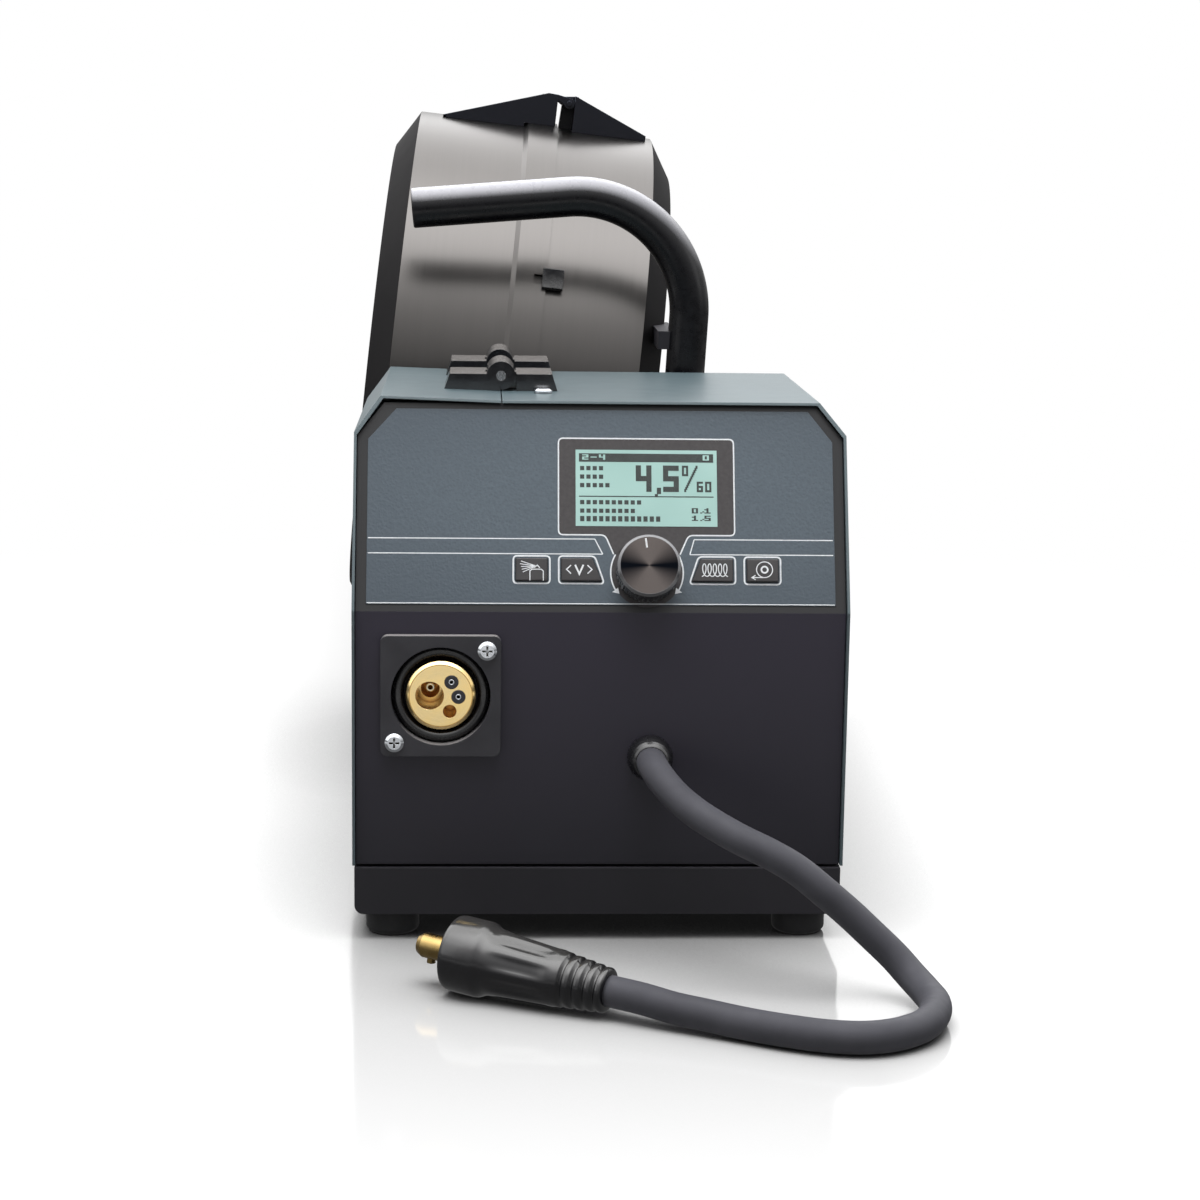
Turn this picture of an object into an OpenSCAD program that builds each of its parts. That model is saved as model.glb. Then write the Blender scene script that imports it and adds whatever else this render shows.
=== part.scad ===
// Wire feeder: a drive box with a leaning control panel, a tilted spool case behind it,
// an L-shaped handle and a short welding lead with its plug.
// Machine frame: +X to the operator's right, +Y to the back, +Z up, floor at Z = 0.

/* [Box] */
// Width of the drive box
box_w = 265; // [240:1:300]
// Depth of the drive box, from the front panel to its back wall
box_d = 208; // [200:1:240]
// Height of the upright lower front panel
lower_h = 138.5; // [134:0.5:160]
// Height of the leaning upper front panel
upper_h = 108.5; // [104:0.5:130]
// Lean of the upper front panel, from upright
lean = 21.3; // [12:0.1:28]
// Thickness of the cover sheets
sheet = 1.5; // [1:0.1:2]
// Width of the bevel along the two top edges
bevel_w = 14; // [10:0.5:18]
// Height of the bevel along the two top edges
bevel_h = 17; // [12:0.5:22]
// How far the cover's edge stands in front of the panels
rim = 3; // [2:0.5:6]
// Width of the door's part of the top, from the left side to the seam
door_top_w = 79; // [74:0.5:84]
// Height by which the door's outer edge stands proud when it is shut
door_rise = 2; // [0:0.5:3]
// Gap between the door and the cover at the seam
seam_gap = 0.6; // [0.4:0.1:1.2]
// Height of the base tray
tray_h = 26; // [20:0.5:32]
// Thickness of the base tray's sheet
tray_t = 2; // [1.5:0.1:2.5]
// Length of the base tray, front to back
tray_len = 596; // [580:1:620]
// Slit between the base tray and the covers
tray_slit = 1.5; // [1:0.1:3]
// Height of the feet
foot_h = 14; // [10:0.5:20]
// Diameter of the feet
foot_d = 29; // [24:0.5:34]
// Distance of the feet's centres from the tray's sides and ends
foot_inset = 20; // [18:0.5:26]

/* [Control panel] */
// Thickness of the printed overlay
overlay_t = 0.6; // [0.4:0.1:0.9]
// Width of the display's window
window_w = 76; // [70:0.5:82]
// Height of the display's window
window_h = 42; // [36:0.5:46]
// Place of the display and the knob, to the right of the middle
display_x = 24.2; // [20:0.1:28]
// Height of the display's middle above the fold, along the panel
display_s = 67.9; // [64:0.1:72]
// Height of the knob's middle above the fold, along the panel
knob_s = 21.7; // [20:0.1:24]
// Diameter of the encoder knob
knob_d = 33.5; // [28:0.5:36]
// Height of the encoder knob
knob_h = 20; // [14:0.5:24]
// Diameter of the encoder's shaft
encoder_shaft_d = 6; // [5:0.5:7]
// Height of the keys
key_h = 14.1; // [12:0.1:17]
// How far the keys travel
key_travel = 0.8; // [0.5:0.1:1]

/* [Torch socket] */
// Place of the socket's middle, left of the box's middle
socket_x = -85.3; // [-92:0.1:-80]
// Height of the socket's middle above the floor
socket_z = 135.1; // [125:0.1:140]
// Side of the square socket flange
flange_w = 64; // [60:0.5:68]
// Thickness of the socket flange
flange_t = 5; // [3:0.5:7]
// Diameter of the well round the brass body
well_d = 53; // [50:0.5:56]
// Depth of the well behind the panel's face
well_depth = 12; // [8:0.5:16]
// Diameter of the brass body
brass_d = 37.2; // [34:0.2:38]
// Length of the brass body behind the panel's face
brass_len = 40; // [32:1:44]
// Diameter of the main bore
bore_d = 15.2; // [13:0.2:16]
// Place of the main bore, from the brass body's middle
bore_x = -5.9; // [-7:0.1:-5]
// Diameter of the two pilot contacts' insulators
pilot_d = 7.4; // [6:0.2:7.6]

/* [Door hinges] */
// Width of an open hinge, over both leaves
hinge_w = 63; // [56:0.5:66]
// Length of a hinge along its pin
hinge_len = 38; // [30:0.5:44]
// Height of the hinge leaves
leaf_h = 9.5; // [7:0.1:9.5]
// Diameter of the hinge barrels
barrel_d = 16; // [13:0.5:17]
// Diameter of the hinge pins
hinge_pin_d = 5.4; // [4:0.1:7]
// Distance of the front hinge from the panel's foot
hinge_y = 89; // [80:0.5:95]

/* [Drive] */
// Diameter of the feed rolls
roll_d = 30; // [28:0.5:32]
// Width of the feed rolls
roll_w = 12; // [9:0.5:14]
// Distance between the two roll pairs
roll_pitch = 46; // [44:0.5:50]
// Place of the front roll pair behind the front panel
roll_y = 92; // [88:0.5:96]
// Diameter of the roll shafts
shaft_d = 8; // [6:0.5:10]
// Teeth of a roll gear
roll_teeth = 20; // [20:2:24]
// Teeth of the centre gear
centre_teeth = 24; // [24:2:28]
// Thickness of the gears
gear_t = 8; // [6:0.5:9]
// Thickness of the drive plate
plate_t = 6; // [4:0.5:8]
// Diameter of the motor
motor_d = 63; // [52:1:66]
// Length of the motor
motor_len = 88; // [70:1:95]
// Lean of the released tension rod, from upright
release_angle = 30; // [24:1:32]

/* [Spool case] */
// Outer radius of the rolled drum
case_r = 173; // [170:0.5:178]
// Width of the drum between the side pans
case_w = 154; // [146:1:158]
// Thickness of the rolled sheets
case_t = 1.2; // [0.8:0.1:1.6]
// Depth of each bevelled side pan
pan_depth = 14.5; // [8:0.5:18]
// Radial width of the side pans' bevel
pan_bevel = 23.5; // [14:0.5:30]
// Sideways tilt of the case, from upright
case_tilt = 6; // [0:0.5:8]
// Place of the case's middle, left of the box's middle
case_x = -46; // [-54:0.5:-40]
// Gap under the drum, above the rear housing's deck
case_lift = 11; // [9:0.5:20]
// Gap between the box's back wall and the case
case_gap = 44; // [43:0.5:50]
// Place of the seam between the two shells, from the case's middle
seam_x = 13.8; // [8:0.1:18]
// Width of the left shell's overlapping strip
strip_w = 18; // [12:0.5:22]
// Height by which the overlapping strip stands proud
strip_rise = 2.5; // [2.2:0.1:4]
// Half length of the hinge roof, along the drum's top
roof_half = 26; // [22:1:36]
// Height of the ridge pin above the drum
ridge_h = 16.5; // [15:0.5:23]
// Place of the ridge pin, from the case's middle
ridge_x = 19.9; // [19:0.1:24]
// Diameter of the ridge pin
ridge_pin_d = 3.4; // [2.6:0.1:4]

/* [Spool] */
// Diameter of the wire spool
spool_d = 300; // [270:1:304]
// Width of the wire spool
spool_w = 103; // [90:1:106]
// Diameter of the spool hub
hub_d = 50.8; // [48:0.2:54]
// Diameter of the wound wire
winding_d = 250; // [190:1:262]

/* [Handle] */
// Diameter of the handle's grip sleeve
grip_d = 24; // [22:0.5:28]
// Diameter of the handle's steel tube
tube_d = 19; // [16:0.5:20]
// Wall of the handle's steel tube
tube_wall = 2; // [1.5:0.1:2.5]
// Radius of the handle's bend
bend_r = 68.5; // [55:0.5:72]
// Place of the upright post, right of the box's middle
post_x = 62.5; // [61:0.5:70]
// Height of the bend's centre above the floor
bend_z = 323.5; // [315:0.5:330]
// Length of the straight bar
bar_len = 95; // [80:0.5:110]
// Droop of the bar towards its free end
bar_droop = 4.8; // [0:0.1:8]
// Distance of the post behind the box's back wall
post_back = 27; // [20:0.5:30]

/* [Welding lead] */
// Diameter of the welding lead
lead_d = 16; // [13:0.5:18]
// Place of the lead's gland, right of the box's middle
gland_x = 27; // [20:0.5:36]
// Height of the lead's gland above the floor
gland_z = 101; // [90:0.5:110]
// Diameter of the plug's sleeve at its collar
plug_d = 39; // [34:0.5:42]
// Length of the plug's sleeve
plug_len = 88; // [80:1:100]
// Diameter of the plug's pin
plug_pin_d = 13; // [9:0.5:14]
// Length of the plug's pin in front of the sleeve
plug_pin_len = 20; // [16:0.5:26]

/* [Hidden] */
$fn = 64;

// Clearances: seated pieces, loose pieces, running bores (on the diameter)
seat = 0.1;
loose = 0.3;
running = 0.1;

// Colours
c_black = [0.06, 0.06, 0.07];
c_panel = [0.05, 0.05, 0.06];
c_teal = [0.20, 0.27, 0.30];
c_sheet = [0.55, 0.53, 0.51];
c_steel = [0.70, 0.70, 0.72];
c_brass = [0.80, 0.62, 0.28];
c_zinc = [0.62, 0.63, 0.65];

// Heights and planes of the box
half_w = box_w/2;
tray_top = foot_h + tray_h;
tray_floor = foot_h + tray_t;
cover_z = tray_top + tray_slit;
fold_z = cover_z + lower_h;
top_z = fold_z + upper_h;
slant_len = upper_h/cos(lean);
tray_y = -2;
tray_hw = half_w - 1;
tray_lip = 12;
inner_top = top_z - sheet;
seam_l = door_top_w - half_w - seam_gap/2;
seam_r = door_top_w - half_w + seam_gap/2;
hinge_x = door_top_w - half_w;
hinge_z = top_z + leaf_h - 1;
div_x = hinge_x + 1.5;
wall_y = 12;
overlay_gap = 7.5;
overlay_hw = half_w - overlay_gap;
overlay_s0 = 4;
overlay_s1 = slant_len - 5.5;
hinge_pitch = 79;
dome_screw = [23.2, -10];
top_flange = 34;
latch_y = 100;
latch_z = cover_z + 32;
latch_d = 8;

// Keys on the panel: left and right edges, and how far an upper corner is drawn in
key_s = display_s - 44.9;
gas_x = [-46.7, -28];
volt_x = [-22.5, 1];
prog_x = [47.2, 71.1];
wire_key_x = [76.7, 95.4];
key_slope = 5;
key_inset = 1;
key_t = 0.9;
key_stem_d = 5;
switch_y = 5.4;
board_y = 9;

// Torch socket
flange_r = 4;
cup_wall = 2;
cup_d = well_d + 2*cup_wall;
brass_face = 3;
bore_len = 19;
stud_d = 24;
stud_len = 12;
lug_t = 4;
flange_screw = [24.6, 25];
screw_d = 4;
screw_head_d = 10.2;
screw_head_h = 2.6;
wall_screws = [[55, fold_z + 56], [190, fold_z + 56], [22, cover_z + 28], [190, cover_z + 8]];
wire_x = socket_x + bore_x;
wire_z = socket_z;
guide_d = 5;

// Lead inside the box
gland_d = 24.6;
gland_h = 11;
gland_thread = 20;
lead_bend = 24;
lug_y = brass_len + lug_t/2;
hose_d = 7;
hose_x = 90;
hose_y = 30;
hose_z = 60;
hose_bend = 20;

// Drive, from the rolls on the left to the motor on the right
axle_gap = 0.3;
gear_m = roll_d/roll_teeth;
drive_z = wire_z - roll_d/2 - axle_gap/2;
press_z = wire_z + roll_d/2 + axle_gap/2;
mesh_gap = 0.3;
centre_y = roll_y + roll_pitch/2;
centre_dist = gear_m*(roll_teeth + centre_teeth)/2 + mesh_gap;
centre_z = drive_z - sqrt(centre_dist*centre_dist - roll_pitch*roll_pitch/4);
roll_x0 = wire_x - roll_w/2;
roll_x1 = wire_x + roll_w/2;
gear_x0 = roll_x1 + 0.5;
gear_x1 = gear_x0 + gear_t;
plate_x0 = gear_x1 + 1;
plate_x1 = plate_x0 + plate_t;
cheek_x1 = roll_x0 - 1;
cheek_t = 6;
cheek_x0 = cheek_x1 - cheek_t;
arm_z0 = press_z + roll_d/2 + gear_m + 1.5;
arm_t = 7.5;
arm_z1 = arm_z0 + arm_t;
arm_y1 = roll_y + roll_pitch + 34;
arm_pivot_z = arm_z1 - shaft_d;
rod_y = roll_y - 26;
rod_z = wire_z + 16.7;
rod_d = 6;
rod_top = rod_z + 74;
rod_seat_z = arm_z1 + 0.8;
washer_t = 1.5;
spring_len = 25;
knob_z0 = rod_seat_z + washer_t + spring_len + loose;
motor_x0 = -22;
drive_shaft_d = 10;

// Spool case
deck_z = 78;
case_y = box_d + case_gap + case_r;
case_z = deck_z + case_lift + case_r;
case_hw = case_w/2;
pan_x = case_hw + pan_depth;
pan_r = case_r - pan_bevel;
band_r = case_r - case_t;
strip_x = seam_x - strip_w;
strip_r = case_r + strip_rise;
joggle = 3;
step_x = strip_x - case_t - joggle;
catch_w = 13;
catch_angle = 26.9;
roof_t = 2;
ridge_z = case_r + ridge_h;
roof_top = ridge_z + 5.3;
roof_left = [-62.5, case_r - 0.3];
roof_ridge = [5.6, roof_top];
roof_right = [72.8, case_r + 1.3];
block_x = [15.1, 24.7];
knuckle_len = 16;
spool_x = -8;
spool_flange = 4;
spool_core_d = 190;
spool_wall = 4;
hub_shoulder_d = 62;
hub_thread_d = 20;
housing_y = box_d + 364;
nipple_d = 13;
inlet_bore_d = 15;
tower_z = 246;
housing_hw = half_w - 1.5;

// Handle
handle_y = box_d + post_back;
bend_x = post_x - bend_r;
post_lean = 3;
post_len = 104;
grip_post = 37;
grip_cap = 3;
// A bent tube's wall is a shade thinner in its bend, and its straights reach into the bend
bend_relief = 0.05;
bend_lap = 0.2;

// Lead outside the box, in the machine frame
lead_r = lead_d/2;
lead_start = [gland_x, -gland_h, gland_z];
lead_points = [
    lead_start, [28, -20, 100], [31, -31, 97], [38, -44, 91], [49, -60, 85],
    [66, -76, 78], [84, -85, 71], [97, -89, 64], [110, -92, 54], [123, -93, 43],
    [135, -95, 32], [146, -99, 22], [154, -106, 14], [160, -117, 9], [162, -131, 8],
    [159, -147, 8], [151, -163, 8], [137, -175, 8], [121, -180, 8], [103, -178, 8],
    [85, -171, 8], [66, -161, 8], [47, -151, 9], [31, -143, 10], [16, -135, 12]
];
plug_at = [0, -126, 13];
plug_yaw = 151.2;
plug_pitch = 4.2;
plug_tail_d = 23;
plug_dir = [
    cos(plug_yaw)*cos(plug_pitch), sin(plug_yaw)*cos(plug_pitch), sin(plug_pitch)
];

// Middle of the whole machine, moved onto the origin
knob_front = (knob_s - knob_d/2)*sin(lean) - knob_h*cos(lean);
case_left = case_x - pan_x*cos(case_tilt) - pan_r*sin(case_tilt);
mid_x = (case_left + half_w + screw_head_h)/2;
mid_y = (knob_front + case_y + strip_r)/2;

// ---------- helpers ----------

// Moves the machine so that its middle stands on the origin
module machine() {
    translate([-mid_x, -mid_y, 0]) children();
}

// Extrudes an X-Z outline from y0 to y1
module along_y(y0, y1) {
    translate([0, y1, 0]) rotate([90, 0, 0]) linear_extrude(y1 - y0) children();
}

// Extrudes a Y-Z outline from x0 to x1
module along_x(x0, x1) {
    translate([x0, 0, 0]) rotate([90, 0, 90]) linear_extrude(x1 - x0) children();
}

// Round bar along X
module rod_x(x0, x1, d, y, z) {
    translate([x0, y, z]) rotate([0, 90, 0]) cylinder(h = x1 - x0, d = d);
}

// Round bar along Y
module rod_y(y0, y1, d, x, z) {
    translate([x, y0, z]) rotate([-90, 0, 0]) cylinder(h = y1 - y0, d = d);
}

// Block given by its two corners
module block(a, b) {
    translate(a) cube(b - a);
}

// Rounded rectangle about the origin
module rrect(w, h, r) {
    square([w, h - 2*r], center = true);
    square([w - 2*r, h], center = true);
    for (i = [-1, 1], j = [-1, 1]) translate([i*(w/2 - r), j*(h/2 - r)]) circle(r);
}

// Frame of the leaning panel: X right, Z up along the panel, -Y out of it
module on_panel() {
    translate([0, 0, fold_z]) rotate([-lean, 0, 0]) children();
}

// Frame of the tilted case, its drum axis along X
module on_case() {
    translate([case_x, case_y, case_z]) rotate([0, case_tilt, 0]) children();
}

// Turns a profile of (radius, distance along the drum axis) about the drum axis
module drum() {
    rotate([0, 90, 0]) rotate_extrude($fn = 128) children();
}

// Frame at the start of the plug, its axis along X
module on_plug() {
    translate(plug_at) rotate([0, -plug_pitch, plug_yaw]) children();
}

// Depth of the plane lying d behind the leaning panel's face, at height z
function panel_y(z, d) = ((z - fold_z)*sin(lean) + d)/cos(lean);

// Fold line of the same plane
function fold_at(d) = [d, fold_z - d*tan(lean/2)];

// Side outline of the box, its front d behind the panels' faces
module side_outline(d, z0, z1, back) {
    polygon([[d, z0], fold_at(d), [panel_y(z1, d), z1], [back, z1], [back, z0]]);
}

// Front outline of the box, drawn in by i on every side
module front_outline(i, z0) {
    w = half_w - i;
    b = half_w - bevel_w - i;
    polygon([[-w, z0], [w, z0], [w, top_z - bevel_h - i], [b, top_z - i],
        [-b, top_z - i], [-w, top_z - bevel_h - i]]);
}

// Outline of a key in the panel's plane, drawn in by g, with its upper corners moved
module key_outline(x, g, left, right) {
    s0 = key_s - key_h/2 + g;
    s1 = key_s + key_h/2 - g;
    polygon([[x[0] + g, s0], [x[1] - g, s0], [x[1] - g - right, s1],
        [x[0] + g + left, s1]]);
}

// Spur gear with straight flanks, about the origin
module spur(teeth, m, phase) {
    rp = m*teeth/2;
    tip = rp + 0.75*m;
    root = rp - 1.05*m;
    step = 360/teeth;
    polygon([for (i = [0:teeth - 1], k = [0:3])
        let (a = phase + i*step + step*[-0.29, -0.12, 0.12, 0.29][k],
            r = [root, tip, tip, root][k])
        [r*cos(a), r*sin(a)]]);
}

// Phase of a gear with nb teeth that meshes, in direction t, with one of na teeth
function mesh_phase(t, a, na, nb) =
    t + 180 + 180/nb + ((t - a)%(360/na))*na/nb;

// Tube swept along points with a fixed up direction
function unit(v) = v/norm(v);
function tangent(p, i) = unit(p[min(i + 1, len(p) - 1)] - p[max(i - 1, 0)]);
function ring(c, t, r, n, up) =
    let (u = unit(cross(t, up)), v = cross(u, t))
    [for (k = [0:n - 1]) c + r*cos(360*k/n)*u + r*sin(360*k/n)*v];
module sweep(p, r, n, up, first, last) {
    m = len(p);
    pts = [for (i = [0:m - 1])
        let (t = i == 0 ? first : i == m - 1 ? last : tangent(p, i))
        each ring(p[i], t, r, n, up)];
    sides = [for (i = [0:m - 2], k = [0:n - 1])
        [i*n + k, i*n + (k + 1)%n, (i + 1)*n + (k + 1)%n, (i + 1)*n + k]];
    ends = [[for (k = [n - 1:-1:0]) k], [for (k = [0:n - 1]) (m - 1)*n + k]];
    polyhedron(points = pts, faces = concat(sides, ends), convexity = 6);
}

// Point between b and c on a smooth curve through a, b, c and d
function between(a, b, c, d, t) =
    0.5*((2*b) + (c - a)*t + (2*a - 5*b + 4*c - d)*t*t + (3*b - a - 3*c + d)*t*t*t);
function smooth(p, n) = [for (i = [0:len(p) - 2], j = [0:n - 1])
    between(p[max(i - 1, 0)], p[i], p[i + 1], p[min(i + 2, len(p) - 1)], j/n)];

// Least gap of a tube of radius r to itself, over points k or more apart
function least_gap(p, r, k) = min([for (i = [0:len(p) - k - 1], j = [i + k:len(p) - 1])
    norm(p[i] - p[j]) - 2*r]);

// ---------- tray and box ----------

// Rounded lower outline of the tray, drawn in by i
module tray_outline(i, r) {
    w = tray_hw - i;
    translate([-w, foot_h + r]) square([2*w, tray_h - i - r]);
    translate([i + r - tray_hw, foot_h + i]) square([2*(w - r), r]);
    for (k = [-1, 1]) translate([k*(w - r), foot_h + i + r]) circle(r);
}

module base_tray() {
    y1 = tray_y + tray_len;
    tab_x = half_w - sheet;
    color(c_black) machine() {
        difference() {
            along_y(tray_y, y1) tray_outline(0, 5);
            along_y(tray_y + tray_t, y1 - tray_t) tray_outline(tray_t, 5 - tray_t);
            block([tray_lip - tray_hw, tray_y + tray_lip, tray_top - tray_t - 1],
                [tray_hw - tray_lip, y1 - tray_lip, tray_top + 1]);
            for (i = [-1, 1], y = [foot_inset, tray_len - foot_inset])
                translate([i*(tray_hw - foot_inset), tray_y + y, foot_h - 1])
                    cylinder(h = tray_t + 2, d = 5);
            for (i = [-3:3]) translate([i*16, 290, foot_h - 1])
                block([-3, 0, 0], [3, 60, tray_t + 2]);
        }
        for (y = [44, 150])
            block([tab_x - 2, y, tray_top - 1], [tab_x, y + 30, tray_top + 22]);
        for (y = [latch_y - 15, 160])
            block([loose - tab_x, y, tray_top - 1], [loose + 2 - tab_x, y + 30, tray_top + 22]);
    }
}

module rubber_feet() {
    r = foot_d/2;
    color([0.03, 0.03, 0.03]) machine()
        for (i = [-1, 1], y = [foot_inset, tray_len - foot_inset])
            translate([i*(tray_hw - foot_inset), tray_y + y, 0]) {
                rotate_extrude() {
                    square([r - 3, foot_h]);
                    translate([0, 3]) square([r, foot_h - 3]);
                    translate([r - 3, 3]) circle(3);
                }
                cylinder(h = foot_h + tray_t + 3, d = 5 - seat);
                translate([0, 0, tray_floor]) cylinder(h = 3, d = 9);
            }
}

// Holes that the panel and the overlay share, drawn out by g
module panel_cuts(g) {
    on_panel() {
        block([display_x - window_w/2 - g, -5, display_s - window_h/2 - g],
            [display_x + window_w/2 + g, 5, display_s + window_h/2 + g]);
        rod_y(-5, 5, 9 + 2*g, display_x, knob_s);
    }
}

module front_panel() {
    i = sheet + loose;
    color(c_panel) machine() {
        difference() {
            intersection() {
                along_y(-1, 80) front_outline(i, cover_z);
                along_x(-half_w, half_w) polygon([[0, cover_z], fold_at(0),
                    [panel_y(top_z, 0), top_z], [panel_y(top_z, sheet), top_z],
                    fold_at(sheet), [sheet, cover_z]]);
            }
            panel_cuts(seat);
            rod_y(-5, 5, cup_d + 2*seat, socket_x, socket_z);
            rod_y(-5, 5, gland_thread + 2*seat, gland_x, gland_z);
            for (i = [-1, 1])
                rod_y(-5, 5, screw_d + seat, socket_x + i*flange_screw[0],
                    socket_z + i*flange_screw[1]);
            on_panel() for (k = [gas_x, volt_x, prog_x, wire_key_x])
                rod_y(-5, 5, key_stem_d + 2*loose, (k[0] + k[1])/2, key_s);
        }
        block([i - half_w, 0.5, cover_z], [half_w - i, wall_y, cover_z + sheet]);
        for (k = [-1, 1]) {
            translate([k*60, 0, 0]) block([-12, 5, tray_top], [12, wall_y, cover_z + 0.5]);
            block([min(k*(half_w - i), k*(half_w - i - sheet)), 0.5, cover_z],
                [max(k*(half_w - i), k*(half_w - i - sheet)), 14, fold_z - 2]);
        }
    }
}

module panel_overlay() {
    keys = [[gas_x, 0, 0], [volt_x, 0, key_slope], [prog_x, key_slope, 0], [wire_key_x, 0, 0]];
    color(c_teal) machine() difference() {
        on_panel() along_y(-overlay_t, 0) difference() {
            polygon([[-overlay_hw, overlay_s0], [overlay_hw, overlay_s0],
                [overlay_hw, overlay_s1 - bevel_h], [overlay_hw - bevel_w + 1, overlay_s1],
                [1 + bevel_w - overlay_hw, overlay_s1], [-overlay_hw, overlay_s1 - bevel_h]]);
            for (k = keys) key_outline(k[0], key_inset - loose, k[1], k[2]);
        }
        panel_cuts(seat);
    }
}

module display_window() {
    w = window_w/2;
    h = window_h/2;
    color([0.62, 0.80, 0.76]) machine() on_panel() translate([display_x, 0, display_s]) {
        block([-w, -overlay_t - 0.2, -h], [w, sheet, h]);
        block([-w - 3, sheet, -h - 3], [w + 3, sheet + 1, h + 3]);
    }
}

module display_board() {
    mid = (gas_x[0] + wire_key_x[1])/2;
    color([0.05, 0.30, 0.16]) machine() on_panel() {
        block([display_x - window_w/2 - 6, sheet + 1, display_s - window_h/2 - 5],
            [display_x + window_w/2 + 6, board_y, display_s + window_h/2 + 5]);
        block([mid - 82, board_y, 8], [mid + 82, board_y + 1.6, slant_len - 14]);
        for (x = [mid - 77, mid + 77], s = [13, slant_len - 19])
            rod_y(sheet, board_y, 6, x, s);
        for (k = [gas_x, volt_x, prog_x, wire_key_x])
            translate([(k[0] + k[1])/2, 0, key_s]) block([-3, switch_y, -3], [3, board_y, 3]);
        difference() {
            union() {
                translate([display_x, 0, knob_s]) block([-7, 4, -7], [7, board_y, 7]);
                rod_y(-overlay_t, 4, 9, display_x, knob_s);
            }
            rod_y(-2, 8, encoder_shaft_d + running, display_x, knob_s);
        }
    }
}

module encoder_knob() {
    r = knob_d/2;
    base = overlay_t + 0.6;
    color([0.16, 0.16, 0.17]) machine() on_panel() translate([display_x, 0, knob_s]) {
        rotate([90, 0, 0]) difference() {
            rotate_extrude() difference() {
                polygon([[0, base], [r - 0.6, base], [r, base + 0.8], [r, knob_h - 1.2],
                    [r - 1.4, knob_h], [0, knob_h]]);
                square([5.2, base + 3]);
            }
            for (i = [0:35]) rotate([0, 0, i*10]) translate([r + 0.1, 0, base - 1])
                cylinder(h = knob_h - base - 1.4, d = 1.4, $fn = 16);
        }
        rod_y(-base - 4, 7.5, encoder_shaft_d, 0, 0);
    }
}

// One key: cap, stem and the collar that rests on the back of the panel
module panel_key(x, left, right) {
    back = -0.85;
    color([0.07, 0.08, 0.09]) machine() on_panel() {
        along_y(back - key_t, back) key_outline(x, key_inset, left, right);
        rod_y(back - 0.2, switch_y - 0.9 - 0.1, key_stem_d, (x[0] + x[1])/2, key_s);
        rod_y(sheet + 0.05, sheet + 0.9, key_stem_d + 3, (x[0] + x[1])/2, key_s);
    }
}

module key_gas() {
    panel_key(gas_x, 0, 0);
}

module key_voltage() {
    panel_key(volt_x, 0, key_slope);
}

module key_program() {
    panel_key(prog_x, key_slope, 0);
}

module key_wire() {
    panel_key(wire_key_x, 0, 0);
}

// ---------- torch socket ----------

module socket_flange() {
    color([0.04, 0.04, 0.05]) machine() difference() {
        union() {
            translate([socket_x, 0, socket_z]) along_y(-flange_t, 0)
                rrect(flange_w, flange_w + 1.5, flange_r);
            rod_y(-1, well_depth, cup_d, socket_x, socket_z);
        }
        rod_y(-flange_t - 1, well_depth - cup_wall, well_d, socket_x, socket_z);
        rod_y(0, well_depth + 1, brass_d + seat, socket_x, socket_z);
        for (i = [-1, 1]) rod_y(-flange_t - 1, 1, screw_d + seat,
            socket_x + i*flange_screw[0], socket_z + i*flange_screw[1]);
    }
}

module socket_body() {
    r = brass_d/2;
    color(c_brass) machine() {
        difference() {
            translate([socket_x, 0, socket_z]) rotate([-90, 0, 0]) rotate_extrude() polygon([
                [0, -brass_face], [r - 1.6, -brass_face], [r, 1.2 - brass_face],
                [r, well_depth], [r + 4, well_depth], [r + 4, well_depth + 4],
                [r, well_depth + 4], [r, brass_len], [stud_d/2, brass_len],
                [stud_d/2, brass_len + stud_len], [0, brass_len + stud_len]]);
            rod_y(-brass_face - 1, bore_len - brass_face, bore_d, wire_x, wire_z);
            rod_y(0, brass_len - 12, bore_d - 5, wire_x, wire_z);
            rod_y(0, brass_len + stud_len + 1, guide_d + seat, wire_x, wire_z);
            for (k = [[5.7, 7.4], [9.4, -0.6]]) rod_y(-brass_face - 1, 12 + seat,
                pilot_d + seat, socket_x + k[0], socket_z + k[1]);
            rod_y(-brass_face - 1, 16, 7.2, socket_x + 4.8, socket_z - 8.5);
            translate([socket_x, hose_y, socket_z - r - 1]) cylinder(h = 5, d = hose_d + seat);
        }
        difference() {
            rod_y(bore_len, brass_len - 11, 5.4, wire_x, wire_z);
            rod_y(bore_len - 1, brass_len - 12, 3.4, wire_x, wire_z);
        }
    }
}

module pilot_contacts() {
    color([0.05, 0.05, 0.05]) machine() for (k = [[5.7, 7.4], [9.4, -0.6]]) difference() {
        rod_y(-brass_face - 0.4, 12, pilot_d, socket_x + k[0], socket_z + k[1]);
        rod_y(-brass_face - 1, 9, 3.2, socket_x + k[0], socket_z + k[1]);
    }
}

// Pan-head screw with a cross recess, its head on the origin and its shank along -Z
module cross_screw(len) {
    difference() {
        union() {
            cylinder(h = screw_head_h - 1, d = screw_head_d);
            translate([0, 0, screw_head_h - 1])
                cylinder(h = 1, d1 = screw_head_d, d2 = screw_head_d - 3);
        }
        for (a = [0, 90]) rotate([0, 0, a]) translate([0, 0, screw_head_h])
            cube([5.5, 1.1, 3], center = true);
    }
    translate([0, 0, -len]) cylinder(h = len + 0.1, d = screw_d);
}

module machine_screws() {
    color(c_zinc) machine() {
        for (i = [-1, 1]) translate([socket_x + i*flange_screw[0], -flange_t,
            socket_z + i*flange_screw[1]]) rotate([90, 0, 0]) cross_screw(12);
        translate([hinge_x + dome_screw[0], hinge_y + dome_screw[1], top_z]) cross_screw(6);
        for (p = wall_screws)
            translate([half_w, p[0], p[1]]) rotate([0, 90, 0]) cross_screw(5);
    }
}

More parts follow.
